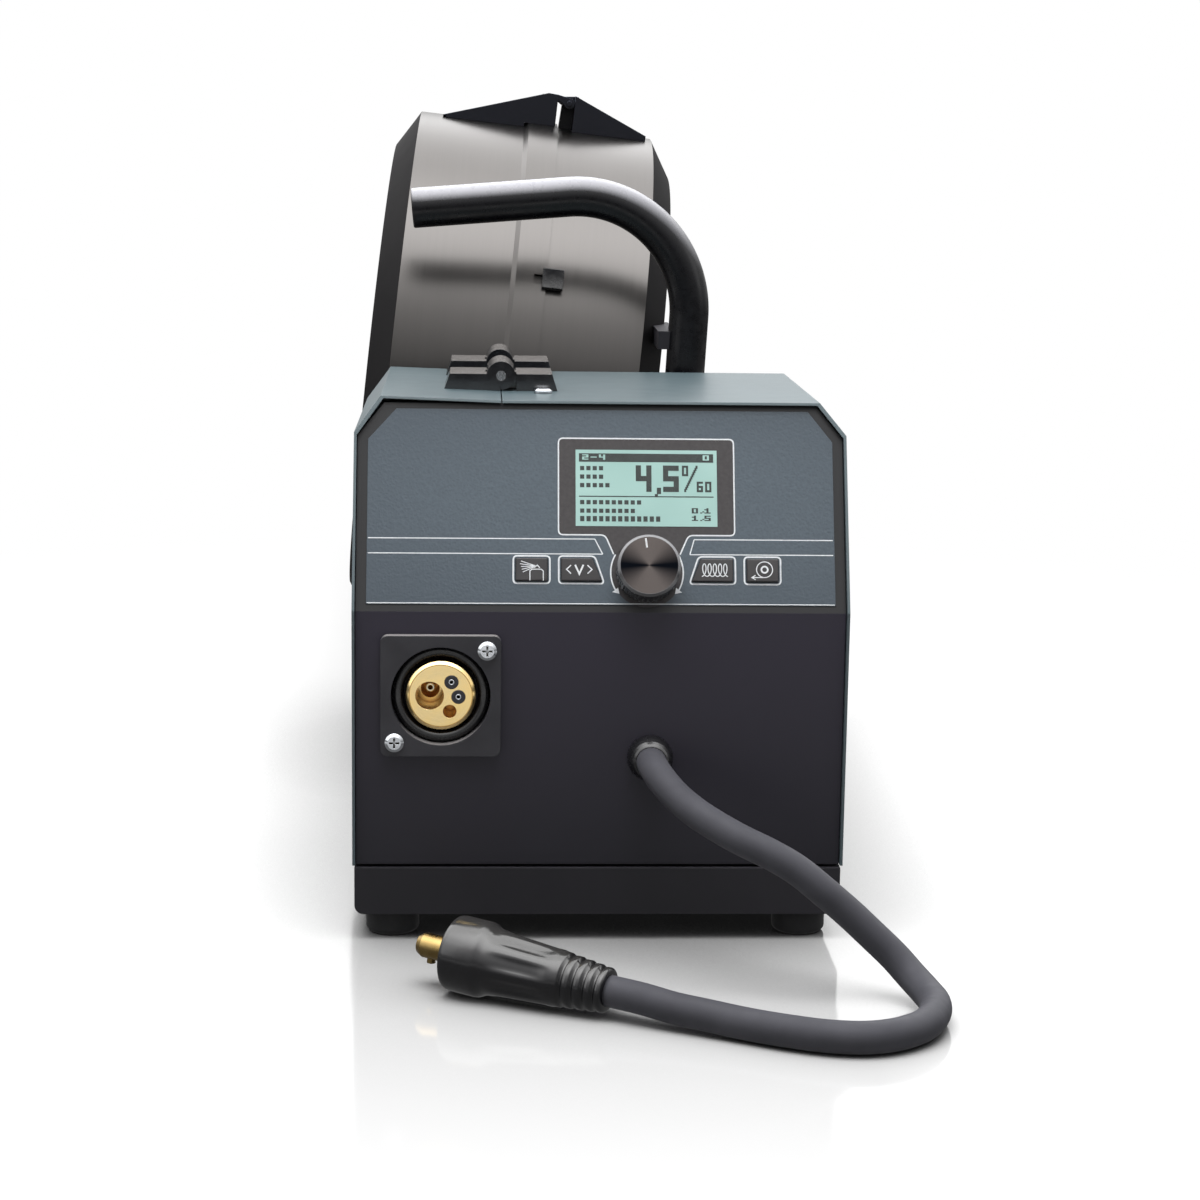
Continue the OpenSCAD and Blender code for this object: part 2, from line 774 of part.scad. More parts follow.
module cable_gland() {
    r = gland_d/2;
    color([0.03, 0.03, 0.03]) machine() translate([gland_x, 0, gland_z]) {
        rotate([90, 0, 0]) rotate_extrude() polygon([
            [lead_r + seat/2, -10], [gland_thread/2, -10], [gland_thread/2, 0], [r, 0],
            [r, 3], [r - 0.6, 6], [r - 1.6, 8.4], [r - 2.8, gland_h - 1],
            [r - 4, gland_h], [lead_r + seat/2, gland_h]]);
        difference() {
            rotate([-90, 0, 0]) translate([0, 0, sheet]) cylinder(h = 6, d = 29, $fn = 6);
            rod_y(0, 10, gland_thread, 0, 0);
        }
    }
}

module inner_lead() {
    color([0.05, 0.05, 0.05]) machine() {
        y0 = lug_y - lead_bend;
        rod_y(-gland_h, y0, lead_d, gland_x, gland_z);
        translate([gland_x - lead_bend, y0, gland_z]) rotate_extrude(angle = 90)
            translate([lead_bend, 0]) circle(lead_r);
        rod_x(hinge_x - 6, gland_x - lead_bend, lead_d, lug_y, gland_z);
    }
}

module lead_lug() {
    y0 = brass_len;
    color(c_brass) machine() {
        difference() {
            union() {
                rod_x(hinge_x - 20, hinge_x - 4, lead_d + 4, lug_y, gland_z);
                along_y(y0, y0 + lug_t) difference() {
                    union() {
                        polygon([[hinge_x - 18, gland_z - 9], [hinge_x - 18, gland_z + 9],
                            [socket_x + 14, socket_z + 10], [socket_x - 12, socket_z - 13]]);
                        translate([socket_x, socket_z]) circle(18);
                    }
                    translate([socket_x, socket_z]) circle((stud_d + seat)/2);
                }
            }
            rod_x(hinge_x - 6.1, hinge_x, lead_d + seat, lug_y, gland_z);
        }
        difference() {
            translate([socket_x, y0 + lug_t, socket_z]) rotate([-90, 0, 0])
                cylinder(h = 7, d = 36, $fn = 6);
            rod_y(y0, y0 + 20, stud_d + seat, socket_x, socket_z);
        }
    }
}

module gas_hose() {
    y0 = hose_y + hose_bend;
    x1 = hose_x - hose_bend;
    x0 = socket_x + hose_bend;
    z1 = hose_z + hose_bend;
    color([0.10, 0.12, 0.35]) machine() {
        rod_y(y0, box_d + 92, hose_d, hose_x, hose_z);
        translate([x1, y0, hose_z]) rotate([0, 0, -90]) rotate_extrude(angle = 90)
            translate([hose_bend, 0]) circle(hose_d/2);
        rod_x(x0, x1, hose_d, hose_y, hose_z);
        translate([x0, hose_y, z1]) rotate([90, 0, 0]) rotate([0, 0, 180])
            rotate_extrude(angle = 90) translate([hose_bend, 0]) circle(hose_d/2);
        translate([socket_x, hose_y, z1])
            cylinder(h = socket_z - brass_d/2 + 2 - z1, d = hose_d);
    }
}

// ---------- covers, door and hinges ----------

module top_cover() {
    color(c_teal) machine() difference() {
        intersection() {
            along_y(-10, box_d) polygon([[seam_r, top_z], [half_w - bevel_w, top_z],
                [half_w, top_z - bevel_h], [half_w, cover_z], [half_w - sheet, cover_z],
                [half_w - sheet, inner_top - bevel_h], [half_w - bevel_w - sheet, inner_top],
                [seam_r, inner_top]]);
            along_x(seam_r - 1, half_w + 1) side_outline(-rim, cover_z, top_z, box_d);
        }
        for (p = wall_screws)
            rod_x(half_w - 3, half_w + 1, screw_d + seat, p[0], p[1]);
        translate([hinge_x + dome_screw[0], hinge_y + dome_screw[1], top_z - 3])
            cylinder(h = 4, d = screw_d + seat);
    }
}

module side_door() {
    b = half_w - bevel_w;
    up = top_z + door_rise;
    color(c_teal) machine() difference() {
        intersection() {
            along_y(-10, box_d) polygon([[seam_l, top_z], [-b, up], [-half_w, top_z - bevel_h],
                [-half_w, cover_z], [sheet - half_w, cover_z],
                [sheet - half_w, inner_top - bevel_h], [sheet - b, up - sheet],
                [seam_l, inner_top]]);
            along_x(-half_w - 1, seam_l + 1) side_outline(-rim, cover_z, up, box_d);
        }
        rod_x(-half_w - 1, 3 - half_w, latch_d + running, latch_y, latch_z);
    }
}

module divider_wall() {
    d = wall_y;
    x1 = div_x + sheet;
    color(c_zinc) machine() difference() {
        union() {
            along_x(div_x, x1) side_outline(d, tray_floor, inner_top, box_d - sheet);
            intersection() {
                block([div_x, 0, inner_top - sheet],
                    [div_x + top_flange, box_d - sheet, inner_top]);
                along_x(div_x, div_x + top_flange)
                    side_outline(d, tray_floor, inner_top, box_d - sheet);
            }
            block([div_x, d + 2, tray_floor], [div_x + 16, box_d - sheet, tray_floor + sheet]);
        }
        rod_x(div_x - 1, x1 + 1, lead_d + 6, lug_y, gland_z);
        rod_x(div_x - 1, x1 + 1, hose_d + 4, hose_y, hose_z);
        rod_x(div_x - 1, x1 + 1, 39, centre_y, centre_z);
        translate([hinge_x + dome_screw[0], hinge_y + dome_screw[1], inner_top - 3])
            cylinder(h = 4, d = screw_d + seat);
    }
}

module rear_bulkhead() {
    i = sheet + loose;
    color(c_zinc) machine() difference() {
        union() {
            along_y(box_d - sheet, box_d) front_outline(i, cover_z);
            block([tray_lip + 1 - tray_hw, box_d - sheet, tray_floor],
                [tray_hw - tray_lip - 1, box_d, cover_z + 1]);
        }
        rod_y(box_d - 5, box_d + 5, 12 + seat, wire_x, wire_z);
        rod_y(box_d - 5, box_d + 5, hose_d + 3, hose_x, hose_z);
    }
}

// Outline of one hinge leaf, from the barrel outward, for the side s
module leaf_outline(s, rise) {
    w = hinge_w/2;
    r = barrel_d/2 + 0.6;
    polygon([[s*r, top_z + rise*r/w], [s*w, top_z + rise], [s*(w - 3), top_z + leaf_h],
        [s*r, top_z + leaf_h]]);
}

// Knuckle of a leaf from y0 to y1, joined to the leaf on the side s
module knuckle(s, y0, y1) {
    difference() {
        union() {
            rod_y(y0, y1, barrel_d, 0, hinge_z);
            block([s > 0 ? 0.5 : -barrel_d/2 - 1, y0, top_z + loose],
                [s > 0 ? barrel_d/2 + 1 : -0.5, y1, top_z + leaf_h]);
        }
        rod_y(y0 - 1, y1 + 1, hinge_pin_d + running, 0, hinge_z);
    }
}

module fixed_leaves() {
    k = hinge_len/3;
    color([0.04, 0.04, 0.05]) machine()
        for (y = [hinge_y, hinge_y + hinge_pitch]) translate([hinge_x, 0, 0]) {
            along_y(y, y + hinge_len) leaf_outline(1, 0);
            knuckle(1, y + k + 0.1, y + 2*k - 0.1);
        }
}

module moving_leaves() {
    k = hinge_len/3;
    rise = door_rise*hinge_w/2/(door_top_w - bevel_w);
    color([0.04, 0.04, 0.05]) machine()
        for (y = [hinge_y, hinge_y + hinge_pitch]) translate([hinge_x, 0, 0]) {
            along_y(y, y + hinge_len) leaf_outline(-1, rise);
            knuckle(-1, y, y + k);
            knuckle(-1, y + 2*k, y + hinge_len);
        }
}

module hinge_pins() {
    color(c_steel) machine() for (y = [hinge_y, hinge_y + hinge_pitch])
        rod_y(y + 0.5, y + hinge_len - 0.5, hinge_pin_d, hinge_x, hinge_z);
}

module door_latch() {
    z = latch_z;
    y = latch_y;
    x = 6 - half_w;
    color(c_black) machine() {
        difference() {
            rod_x(-half_w - 0.8, -half_w, 2*latch_d, y, z);
            block([-half_w - 1, y - 5, z - 0.8], [-half_w - 0.3, y + 5, z + 0.8]);
        }
        rod_x(-half_w - 0.2, x, latch_d, y, z);
        block([x, y - 5, z - 5], [x + 2, y + 22, z + 5]);
    }
}

// ---------- wire drive ----------

module drive_plate() {
    y0 = rod_y - 10;
    y1 = arm_y1 + 12;
    z0 = centre_z - 30;
    z1 = arm_pivot_z + 12;
    color(c_zinc) machine() {
        difference() {
            union() {
                along_x(plate_x0, plate_x1) polygon([[y0, rod_z - 22], [y0 + 18, z0],
                    [y1 - 12, z0], [y1, z0 + 14], [y1, z1], [y0, z1]]);
                for (p = [[y0 + 24, z0 + 8], [y1 - 10, z0 + 20], [y0 + 8, z1 - 9],
                    [y1 - 30, z1 - 9]]) rod_x(plate_x1 - 1, div_x, 14, p[0], p[1]);
            }
            for (y = [roll_y, roll_y + roll_pitch])
                rod_x(plate_x0 - 1, plate_x1 + 1, shaft_d, y, drive_z);
            rod_x(plate_x0 - 1, plate_x1 + 1, drive_shaft_d + 2, centre_y, centre_z);
            rod_x(plate_x0 - 1, plate_x1 + 1, shaft_d, arm_y1, arm_pivot_z);
            rod_x(plate_x0 - 1, plate_x1 + 1, rod_d, rod_y, rod_z);
        }
    }
}

module drive_motor() {
    x0 = div_x + sheet;
    color([0.35, 0.36, 0.38]) machine() difference() {
        union() {
            rod_x(plate_x1, x0 + 1, 38, centre_y, centre_z);
            block([x0, centre_y - 36, centre_z - 32], [motor_x0, centre_y + 36, centre_z + 38]);
            rod_x(motor_x0 - 1, motor_x0 + motor_len, motor_d, centre_y, centre_z);
            rod_x(motor_x0 + motor_len - 1, motor_x0 + motor_len + 6, motor_d - 26,
                centre_y, centre_z);
        }
        rod_x(plate_x1 - 1, motor_x0 - 2, drive_shaft_d + running, centre_y, centre_z);
    }
}

module centre_gear() {
    color(c_steel) machine() {
        translate([gear_x0, centre_y, centre_z]) rotate([90, 0, 90]) linear_extrude(gear_t)
            spur(centre_teeth, gear_m, 0);
        rod_x(gear_x0 - 3, motor_x0 - 4, drive_shaft_d, centre_y, centre_z);
        rod_x(gear_x0 - 3, gear_x0, 16, centre_y, centre_z);
        rod_x(gear_x1, plate_x0 - 0.3, 16, centre_y, centre_z);
    }
}

module drive_pins() {
    color(c_steel) machine() {
        for (y = [roll_y, roll_y + roll_pitch]) {
            rod_x(roll_x0 - 3, plate_x1 + 2, shaft_d, y, drive_z);
            rod_x(roll_x0 - 3, roll_x0 - 0.5, shaft_d + 5, y, drive_z);
        }
        rod_x(cheek_x0 - 3, plate_x1 + 2, shaft_d, arm_y1, arm_pivot_z);
        rod_x(cheek_x0 - 3, cheek_x0 - 0.4, shaft_d + 5, arm_y1, arm_pivot_z);
        rod_x(wire_x - 6.5, plate_x1 + 2, rod_d, rod_y, rod_z);
        rod_x(wire_x - 6.5, wire_x - 4.4, rod_d + 4, rod_y, rod_z);
        rod_x(wire_x + 4.4, plate_x0, rod_d + 4, rod_y, rod_z);
    }
}

// Grooved roll with its gear, on the axle at y, z
module feed_roll(y, z, phase) {
    r = roll_d/2;
    h = roll_w/2;
    color(c_steel) machine() translate([0, y, z]) difference() {
        union() {
            translate([wire_x, 0, 0]) rotate([0, 90, 0]) rotate_extrude() polygon([
                [0, -h], [r - 0.8, -h], [r, 0.8 - h], [r, -3.8], [r - 0.7, -3], [r, -2.2],
                [r, 2.2], [r - 0.7, 3], [r, 3.8], [r, h - 0.8], [r - 0.8, h], [0, h]]);
            rod_x(roll_x1 - 1, gear_x0 + 1, 16, 0, 0);
            translate([gear_x0, 0, 0]) rotate([90, 0, 90]) linear_extrude(gear_t)
                spur(roll_teeth, gear_m, phase);
        }
        rod_x(roll_x0 - 1, gear_x1 + 1, shaft_d + running, 0, 0);
    }
}

function gear_turn(y) = atan2(drive_z - centre_z, y - centre_y);
front_phase = mesh_phase(gear_turn(roll_y), 0, centre_teeth, roll_teeth);
rear_phase = mesh_phase(gear_turn(roll_y + roll_pitch), 0, centre_teeth, roll_teeth);

module feed_roll_front() {
    feed_roll(roll_y, drive_z, front_phase);
}

module feed_roll_rear() {
    feed_roll(roll_y + roll_pitch, drive_z, rear_phase);
}

module pressure_roll_front() {
    feed_roll(roll_y, press_z, mesh_phase(90, front_phase, roll_teeth, roll_teeth));
}

module pressure_roll_rear() {
    feed_roll(roll_y + roll_pitch, press_z, mesh_phase(90, rear_phase, roll_teeth, roll_teeth));
}

module pressure_arm() {
    y0 = rod_y - 4;
    y1 = roll_y + roll_pitch + 16;
    color([0.45, 0.46, 0.48]) machine() {
        difference() {
            union() {
                along_x(cheek_x0, cheek_x1) polygon([[y0, arm_z0], [roll_y - 14, press_z + 6],
                    [roll_y - 8, press_z - 8], [y1 - 8, press_z - 8], [arm_y1 + 8, arm_pivot_z - 6],
                    [arm_y1 + 8, arm_z1], [y0, arm_z1]]);
                block([cheek_x0, y0, arm_z0], [wire_x + 9, y1, arm_z1]);
                rod_x(cheek_x0, plate_x0 - 1, 16, arm_y1, arm_pivot_z);
                for (y = [roll_y, roll_y + roll_pitch])
                    rod_x(cheek_x1 - 1, gear_x1 - 0.5, shaft_d, y, press_z);
            }
            rod_x(cheek_x0 - 1, plate_x0 + 1, shaft_d + running, arm_y1, arm_pivot_z);
            block([wire_x - rod_d/2 - 1, y0 - 1, arm_z0 - 1],
                [wire_x + rod_d/2 + 1, rod_y + rod_d + 3, arm_z1 + 1]);
        }
    }
}

// Leans the rod out of the arm's fork, as it is left while no wire is clamped
module released() {
    translate([0, rod_y, rod_z]) rotate([release_angle, 0, 0])
        translate([0, -rod_y, -rod_z]) children();
}

module tension_rod() {
    color(c_steel) machine() released() difference() {
        union() {
            rod_x(wire_x - 4, wire_x + 4, 12, rod_y, rod_z);
            translate([wire_x, rod_y, rod_z]) cylinder(h = rod_top - rod_z, d = rod_d);
        }
        rod_x(wire_x - 5, wire_x + 5, rod_d + running, rod_y, rod_z);
    }
    color(c_steel) machine() released() translate([wire_x, rod_y, rod_seat_z]) difference() {
        cylinder(h = washer_t, d = 16);
        translate([0, 0, -1]) cylinder(h = washer_t + 2, d = rod_d + running);
    }
}

module tension_spring() {
    n = 72;
    z0 = rod_seat_z + washer_t + 0.9;
    path = [for (i = [0:n]) [wire_x + 5.6*cos(i*27.5), rod_y + 5.6*sin(i*27.5),
        z0 + (spring_len - 1.9)*i/n]];
    echo(spring_least_gap = least_gap(path, 0.9, 8));
    color(c_zinc) machine() released()
        sweep(path, 0.9, 6, [0, 0, 1], tangent(path, 0), tangent(path, n));
}

module tension_knob() {
    color([0.05, 0.05, 0.06]) machine() released()
        translate([wire_x, rod_y, knob_z0]) difference() {
        union() {
            cylinder(h = 21, d = 17);
            translate([0, 0, 4]) cylinder(h = 16, d = 20);
        }
        translate([0, 0, -1]) cylinder(h = rod_top - knob_z0 + 1.5, d = rod_d + running);
        for (i = [0:9]) rotate([0, 0, i*36]) translate([11, 0, 3]) cylinder(h = 20, d = 3.4);
    }
}

module wire_guides() {
    y0 = roll_y + 10;
    y1 = roll_y + roll_pitch - 10;
    color(c_brass) machine() difference() {
        union() {
            rod_y(brass_len - 4, roll_y - 10, guide_d, wire_x, wire_z);
            rod_y(y0, y1, guide_d, wire_x, wire_z);
            block([wire_x, centre_y - 3, wire_z - 3], [plate_x0, centre_y + 3, wire_z + 3]);
            rod_y(roll_y + roll_pitch + 10, box_d + 4, guide_d + 3, wire_x, wire_z);
            rod_y(box_d - sheet - 4, box_d - sheet, 20, wire_x, wire_z);
            rod_y(box_d - 3, box_d + 4, 12, wire_x, wire_z);
        }
        rod_y(brass_len - 5, box_d + 5, 2.4, wire_x, wire_z);
    }
}

// ---------- spool case ----------

module case_band_right() {
    color(c_sheet) machine() on_case() drum() polygon([
        [band_r, strip_x + 3], [case_r, strip_x + 3], [case_r, case_hw], [band_r, case_hw]]);
}

module case_band_left() {
    color(c_sheet) machine() on_case() difference() {
        drum() polygon([[band_r, -case_hw], [case_r, -case_hw], [case_r, step_x],
            [strip_r, step_x + joggle], [strip_r, seam_x], [strip_r - case_t, seam_x],
            [strip_r - case_t, strip_x], [band_r, strip_x - joggle]]);
        block([-46, -case_r - 9, -152], [-18, -60, -104]);
        rotate([-catch_angle, 0, 0])
            block([seam_x - 8, -case_r - 9, -3.3], [seam_x + 1, -case_r - 0.6, 3.3]);
    }
}

// Bevelled side pan, its rim at the band's end on the side s
module case_pan(s) {
    t = 1.6;
    drum() polygon([[0, s*pan_x], [pan_r, s*pan_x], [case_r, s*case_hw],
        [case_r - 2, s*case_hw], [pan_r - 1, s*(pan_x - t)], [0, s*(pan_x - t)]]);
}

module case_pan_right() {
    color([0.03, 0.03, 0.035]) machine() on_case() case_pan(1);
}

module case_pan_left() {
    color([0.03, 0.03, 0.035]) machine() on_case() case_pan(-1);
}

module case_roof_right() {
    color([0.05, 0.06, 0.07]) machine() on_case() {
        difference() {
            union() {
                along_y(-roof_half, roof_half) polygon([[block_x[1] - 1, roof_top],
                    roof_right, roof_right - [0.6, roof_t], [block_x[1] - 1, roof_top - roof_t]]);
                along_y(knuckle_len - roof_half, roof_half - knuckle_len) polygon([
                    [block_x[0], case_r - 1], [block_x[1], case_r - 1], [block_x[1], roof_top],
                    [block_x[0] + 1, roof_top - 1]]);
                for (y = [-roof_half, roof_half - roof_t]) along_y(y, y + roof_t) polygon([
                    [block_x[1] - 1, case_r - 8], [roof_right[0], case_r - 8], roof_right,
                    [block_x[1] - 1, roof_top - 0.4]]);
                along_y(-roof_half, roof_half) polygon([[block_x[1] - 1, case_r - 1],
                    [block_x[1] + 3, case_r - 1], [block_x[1] + 1, roof_top - 0.5],
                    [block_x[1] - 1, roof_top - 0.3]]);
            }
            rod_y(-roof_half, roof_half, ridge_pin_d + running, ridge_x, ridge_z);
            rod_x(0, roof_right[0] + 9, 2*case_r, 0, 0);
        }
    }
}

module case_roof_left() {
    r = 3.5;
    color([0.05, 0.06, 0.07]) machine() on_case() {
        difference() {
            union() {
                along_y(-roof_half, roof_half) polygon([roof_left, roof_ridge,
                    [block_x[0] - 2.4, roof_top - 0.4], [block_x[0] - 2.4, roof_top - 0.4 - roof_t],
                    roof_ridge - [0, roof_t], roof_left + [5, -0.3]]);
                for (y = [-roof_half, roof_half - roof_t]) along_y(y, y + roof_t) polygon([
                    [roof_left[0] + 2, case_r - 8], roof_left + [2, -0.2], roof_ridge,
                    [block_x[0] - 3, roof_top - 0.4], [block_x[0] - 3, case_r - 8]]);
                for (s = [-1, 1]) {
                    y0 = s > 0 ? roof_half - knuckle_len + 0.3 : -roof_half;
                    y1 = s > 0 ? roof_half : knuckle_len - roof_half - 0.3;
                    rod_y(y0, y1, 2*r, ridge_x, ridge_z);
                    along_y(y0, y1) polygon([[block_x[0] - 3, roof_top - 0.4],
                        [block_x[0] - 3, roof_top - 3.6], [ridge_x, ridge_z - r],
                        [ridge_x, ridge_z + r]]);
                }
                for (y = [-roof_half, roof_half - 4]) along_y(y, y + 4) polygon([
                    [strip_x - 2, strip_r - 2], [seam_x - 3, strip_r - 2],
                    [roof_ridge[0] + 4, roof_top - 1], [roof_ridge[0] - 4, roof_top - 1]]);
            }
            rod_y(-roof_half - 1, roof_half + 1, ridge_pin_d, ridge_x, ridge_z);
            rod_x(roof_left[0] - 9, step_x, 2*case_r, 0, 0);
            rod_x(step_x - 0.01, ridge_x, 2*strip_r, 0, 0);
        }
        rod_y(-roof_half - 2, roof_half + 2, ridge_pin_d, ridge_x, ridge_z);
    }
}

module case_catch() {
    r = strip_r + loose;
    color([0.03, 0.03, 0.03]) machine() on_case() rotate([-catch_angle, 0, 0]) {
        block([seam_x - 2.6, -r - 3.4, -catch_w/2], [seam_x - 2.6 + catch_w, -r, catch_w/2]);
        block([seam_x - 2.4, -r - 1, -3], [seam_x - 0.6, 0.6 - r, 3]);
    }
}

// ---------- spool and hub ----------

module spool_hub() {
    x1 = pan_x - 1.6;
    s1 = spool_x + spool_w/2 + loose;
    s0 = spool_x - spool_w/2 - 1;
    color([0.08, 0.08, 0.09]) machine() on_case() difference() {
        union() {
            rod_x(s1, x1, hub_shoulder_d, 0, 0);
            rod_x(x1 - 4, x1, 96, 0, 0);
            rod_x(s0, s1 + 1, hub_d, 0, 0);
            rod_x(s0 - 16, s0 + 1, hub_thread_d, 0, 0);
        }
        rod_x(s0 - 17, x1 - 8, 9, 0, 0);
    }
}

module hub_nut() {
    s0 = spool_x - spool_w/2 - 1 - loose;
    color([0.12, 0.12, 0.13]) machine() on_case() difference() {
        rod_x(s0 - 12, s0, 62, 0, 0);
        rod_x(s0 - 13, s0 + 1, hub_thread_d + running, 0, 0);
        for (i = [0:7]) rotate([i*45, 0, 0]) rod_x(s0 - 13, s0 - 3, 12, 33, 0);
    }
}

module wire_spool() {
    x0 = spool_x - spool_w/2;
    x1 = spool_x + spool_w/2;
    color([0.10, 0.10, 0.11]) machine() on_case() difference() {
        union() {
            rod_x(x0, x0 + spool_flange, spool_d, 0, 0);
            rod_x(x1 - spool_flange, x1, spool_d, 0, 0);
            difference() {
                rod_x(x0 + 1, x1 - 1, spool_core_d, 0, 0);
                rod_x(x0, x1, spool_core_d - 2*spool_wall, 0, 0);
            }
            rod_x(x0 + 1, x1 - 1, hub_d + 2*spool_wall, 0, 0);
            for (i = [0:5]) rotate([i*60 + 30, 0, 0])
                block([x0 + 1, hub_d/2 + 1, -1.5], [x1 - 1, spool_core_d/2 - 1, 1.5]);
        }
        rod_x(x0 - 1, x1 + 1, hub_d + running, 0, 0);
        for (i = [0:5]) rotate([i*60, 0, 0]) {
            rod_x(x0 - 1, x0 + spool_flange/2, 40, 61, 0);
            rod_x(x1 - spool_flange/2, x1 + 1, 40, 61, 0);
        }
    }
}

module wire_winding() {
    x0 = spool_x - spool_w/2 + spool_flange;
    x1 = spool_x + spool_w/2 - spool_flange;
    color([0.75, 0.48, 0.30]) machine() on_case() difference() {
        rod_x(x0, x1, winding_d, 0, 0);
        rod_x(x0 - 1, x1 + 1, spool_core_d, 0, 0);
    }
}

// ---------- rear housing ----------

// X of the right pan's outer face at height z, moved by g
function pan_face(z, g) =
    case_x + (pan_x + g + (z - case_z)*sin(case_tilt))/cos(case_tilt);

module housing_outline(i, z0) {
    w = housing_hw - i;
    polygon([[-w, z0], [w, z0], [w, tower_z - 14 - i], [w - 13, tower_z - i],
        [pan_face(tower_z, i), tower_z - i], [pan_face(deck_z, i), deck_z - i],
        [-w, deck_z - i]]);
}

module rear_housing() {
    t = sheet;
    color([0.07, 0.08, 0.09]) machine() difference() {
        union() {
            difference() {
                along_y(box_d, housing_y) housing_outline(0, cover_z);
                along_y(box_d - 1, housing_y - t) housing_outline(t, cover_z - 1);
            }
            for (s = [-1, 1]) translate([s*(housing_hw - 8), 0, 0])
                block([-7.5, box_d + 1, tray_top], [7.5, housing_y - 1, cover_z + t]);
            difference() {
                block([-40, case_y - 40, deck_z - 1], [6, case_y + 40, deck_z + 40]);
                on_case() rod_x(-case_hw, case_hw, 2*case_r, 0, 0);
            }
        }
        rod_y(housing_y - 5, housing_y + 5, nipple_d + 2*seat, hose_x, hose_z);
        rod_y(housing_y - 5, housing_y + 5, 36, hose_x - 5, hose_z + 62);
        rod_y(housing_y - 5, housing_y + 5, 26, hose_x - 5, hose_z + 120);
        handle_path(tube_d + 2*seat, 0, post_len + 20);
    }
}

module gas_valve() {
    y0 = box_d + 90;
    color([0.55, 0.50, 0.30]) machine() {
        block([hose_x - 14, y0, tray_floor], [hose_x + 14, y0 + 40, tray_floor + 3]);
        block([hose_x - 6, y0 + 4, tray_floor + 2], [hose_x + 6, y0 + 36, hose_z - 8]);
        difference() {
            block([hose_x - 12, y0, hose_z - 10], [hose_x + 12, y0 + 40, hose_z + 12]);
            rod_y(y0 - 1, y0 + 3, hose_d + seat, hose_x, hose_z);
        }
        translate([hose_x, y0 + 20, hose_z + 11]) cylinder(h = 34, d = 24);
        rod_y(y0 + 39, housing_y - sheet - 4, hose_d, hose_x, hose_z);
        rod_y(housing_y - sheet - 5, housing_y - sheet, 20, hose_x, hose_z);
        rod_y(housing_y - 3, housing_y + 4, nipple_d, hose_x, hose_z);
        rod_y(housing_y, housing_y + 4, 20, hose_x, hose_z);
        difference() {
            rod_y(housing_y + 3, housing_y + 22, nipple_d, hose_x, hose_z);
            rod_y(housing_y + 4, housing_y + 23, 6, hose_x, hose_z);
        }
    }
}

module rear_sockets() {
    color([0.05, 0.05, 0.055]) machine() {
        difference() {
            union() {
                rod_y(housing_y - 14, housing_y + 10, 36 - seat, hose_x - 5, hose_z + 62);
                rod_y(housing_y, housing_y + 3, 48, hose_x - 5, hose_z + 62);
            }
            rod_y(housing_y - 10, housing_y + 11, inlet_bore_d, hose_x - 5, hose_z + 62);
        }
        difference() {
            union() {
                rod_y(housing_y - 10, housing_y + 9, 26 - seat, hose_x - 5, hose_z + 120);
                rod_y(housing_y, housing_y + 3, 34, hose_x - 5, hose_z + 120);
            }
            rod_y(housing_y + 1, housing_y + 10, 21, hose_x - 5, hose_z + 120);
        }
    }
}

// ---------- handle ----------

// Sleeve along the handle's path: diameters d and b, its post p long, its bar's end shut by a wall
module handle_sleeve(d, b, shut, p) {
    translate([bend_x, handle_y, bend_z]) rotate([90, 0, 0]) {
        rotate([0, 0, -post_lean]) {
            rotate_extrude(angle = 90 + post_lean + bar_droop) translate([bend_r, 0])
                difference() {
                    circle(d/2 - bend_relief);
                    circle(b/2 + bend_relief);
                }
            translate([bend_r, bend_lap, 0]) rotate([90, 0, 0]) tube(p + bend_lap, 0, d, b);
        }
        rotate([0, 0, 90 + bar_droop]) translate([bend_r, -bend_lap, 0]) rotate([-90, 0, 0])
            tube(bar_len - grip_cap + bend_lap, shut, d, b);
    }
}

// Straight tube along Z, h long, with its far end shut by a wall where that has a thickness
module tube(h, shut, d, b) {
    difference() {
        cylinder(h = h + shut, d = d);
        translate([0, 0, -1]) cylinder(h = h + (shut > 0 ? 1 : 2), d = b);
    }
}

// Solid of the handle's path: diameter d, its bar shortened by c, its post p long
module handle_path(d, c, p) {
    translate([bend_x, handle_y, bend_z]) rotate([90, 0, 0]) {
        rotate([0, 0, -post_lean]) {
            rotate_extrude(angle = 90 + post_lean + bar_droop)
                translate([bend_r, 0]) circle(d/2);
            translate([bend_r, 0, 0]) rotate([90, 0, 0]) cylinder(h = p, d = d);
        }
        rotate([0, 0, 90 + bar_droop]) translate([bend_r, 0, 0]) rotate([-90, 0, 0])
            cylinder(h = bar_len - c, d = d);
    }
}

module handle_tube() {
    color(c_steel) machine() handle_sleeve(tube_d, tube_d - 2*tube_wall, 0, post_len);
}

module handle_grip() {
    color([0.03, 0.03, 0.03]) machine() handle_sleeve(grip_d, tube_d, grip_cap, grip_post);
}

module handle_clamps() {
    color(c_black) machine() {
        difference() {
            for (z = [bend_z - 58, bend_z - 92]) translate([post_x - 3, 0, z])
                block([-14, box_d, -8], [15, handle_y + 7, 8]);
            handle_path(tube_d + seat, grip_cap, post_len + 20);
        }
        difference() {
            block([post_x - 19, handle_y - 5, bend_z - 23],
                [post_x - 8, case_y - 120, bend_z - 12]);
            handle_path(grip_d + seat, 0, grip_post);
            on_case() {
                rotate([0, 90, 0]) translate([0, 0, case_hw])
                    cylinder(h = pan_depth, r1 = case_r, r2 = pan_r, $fn = 128);
                rod_x(-case_hw, case_hw + 0.1, 2*case_r, 0, 0);
            }
        }
    }
}

// ---------- welding lead and plug ----------

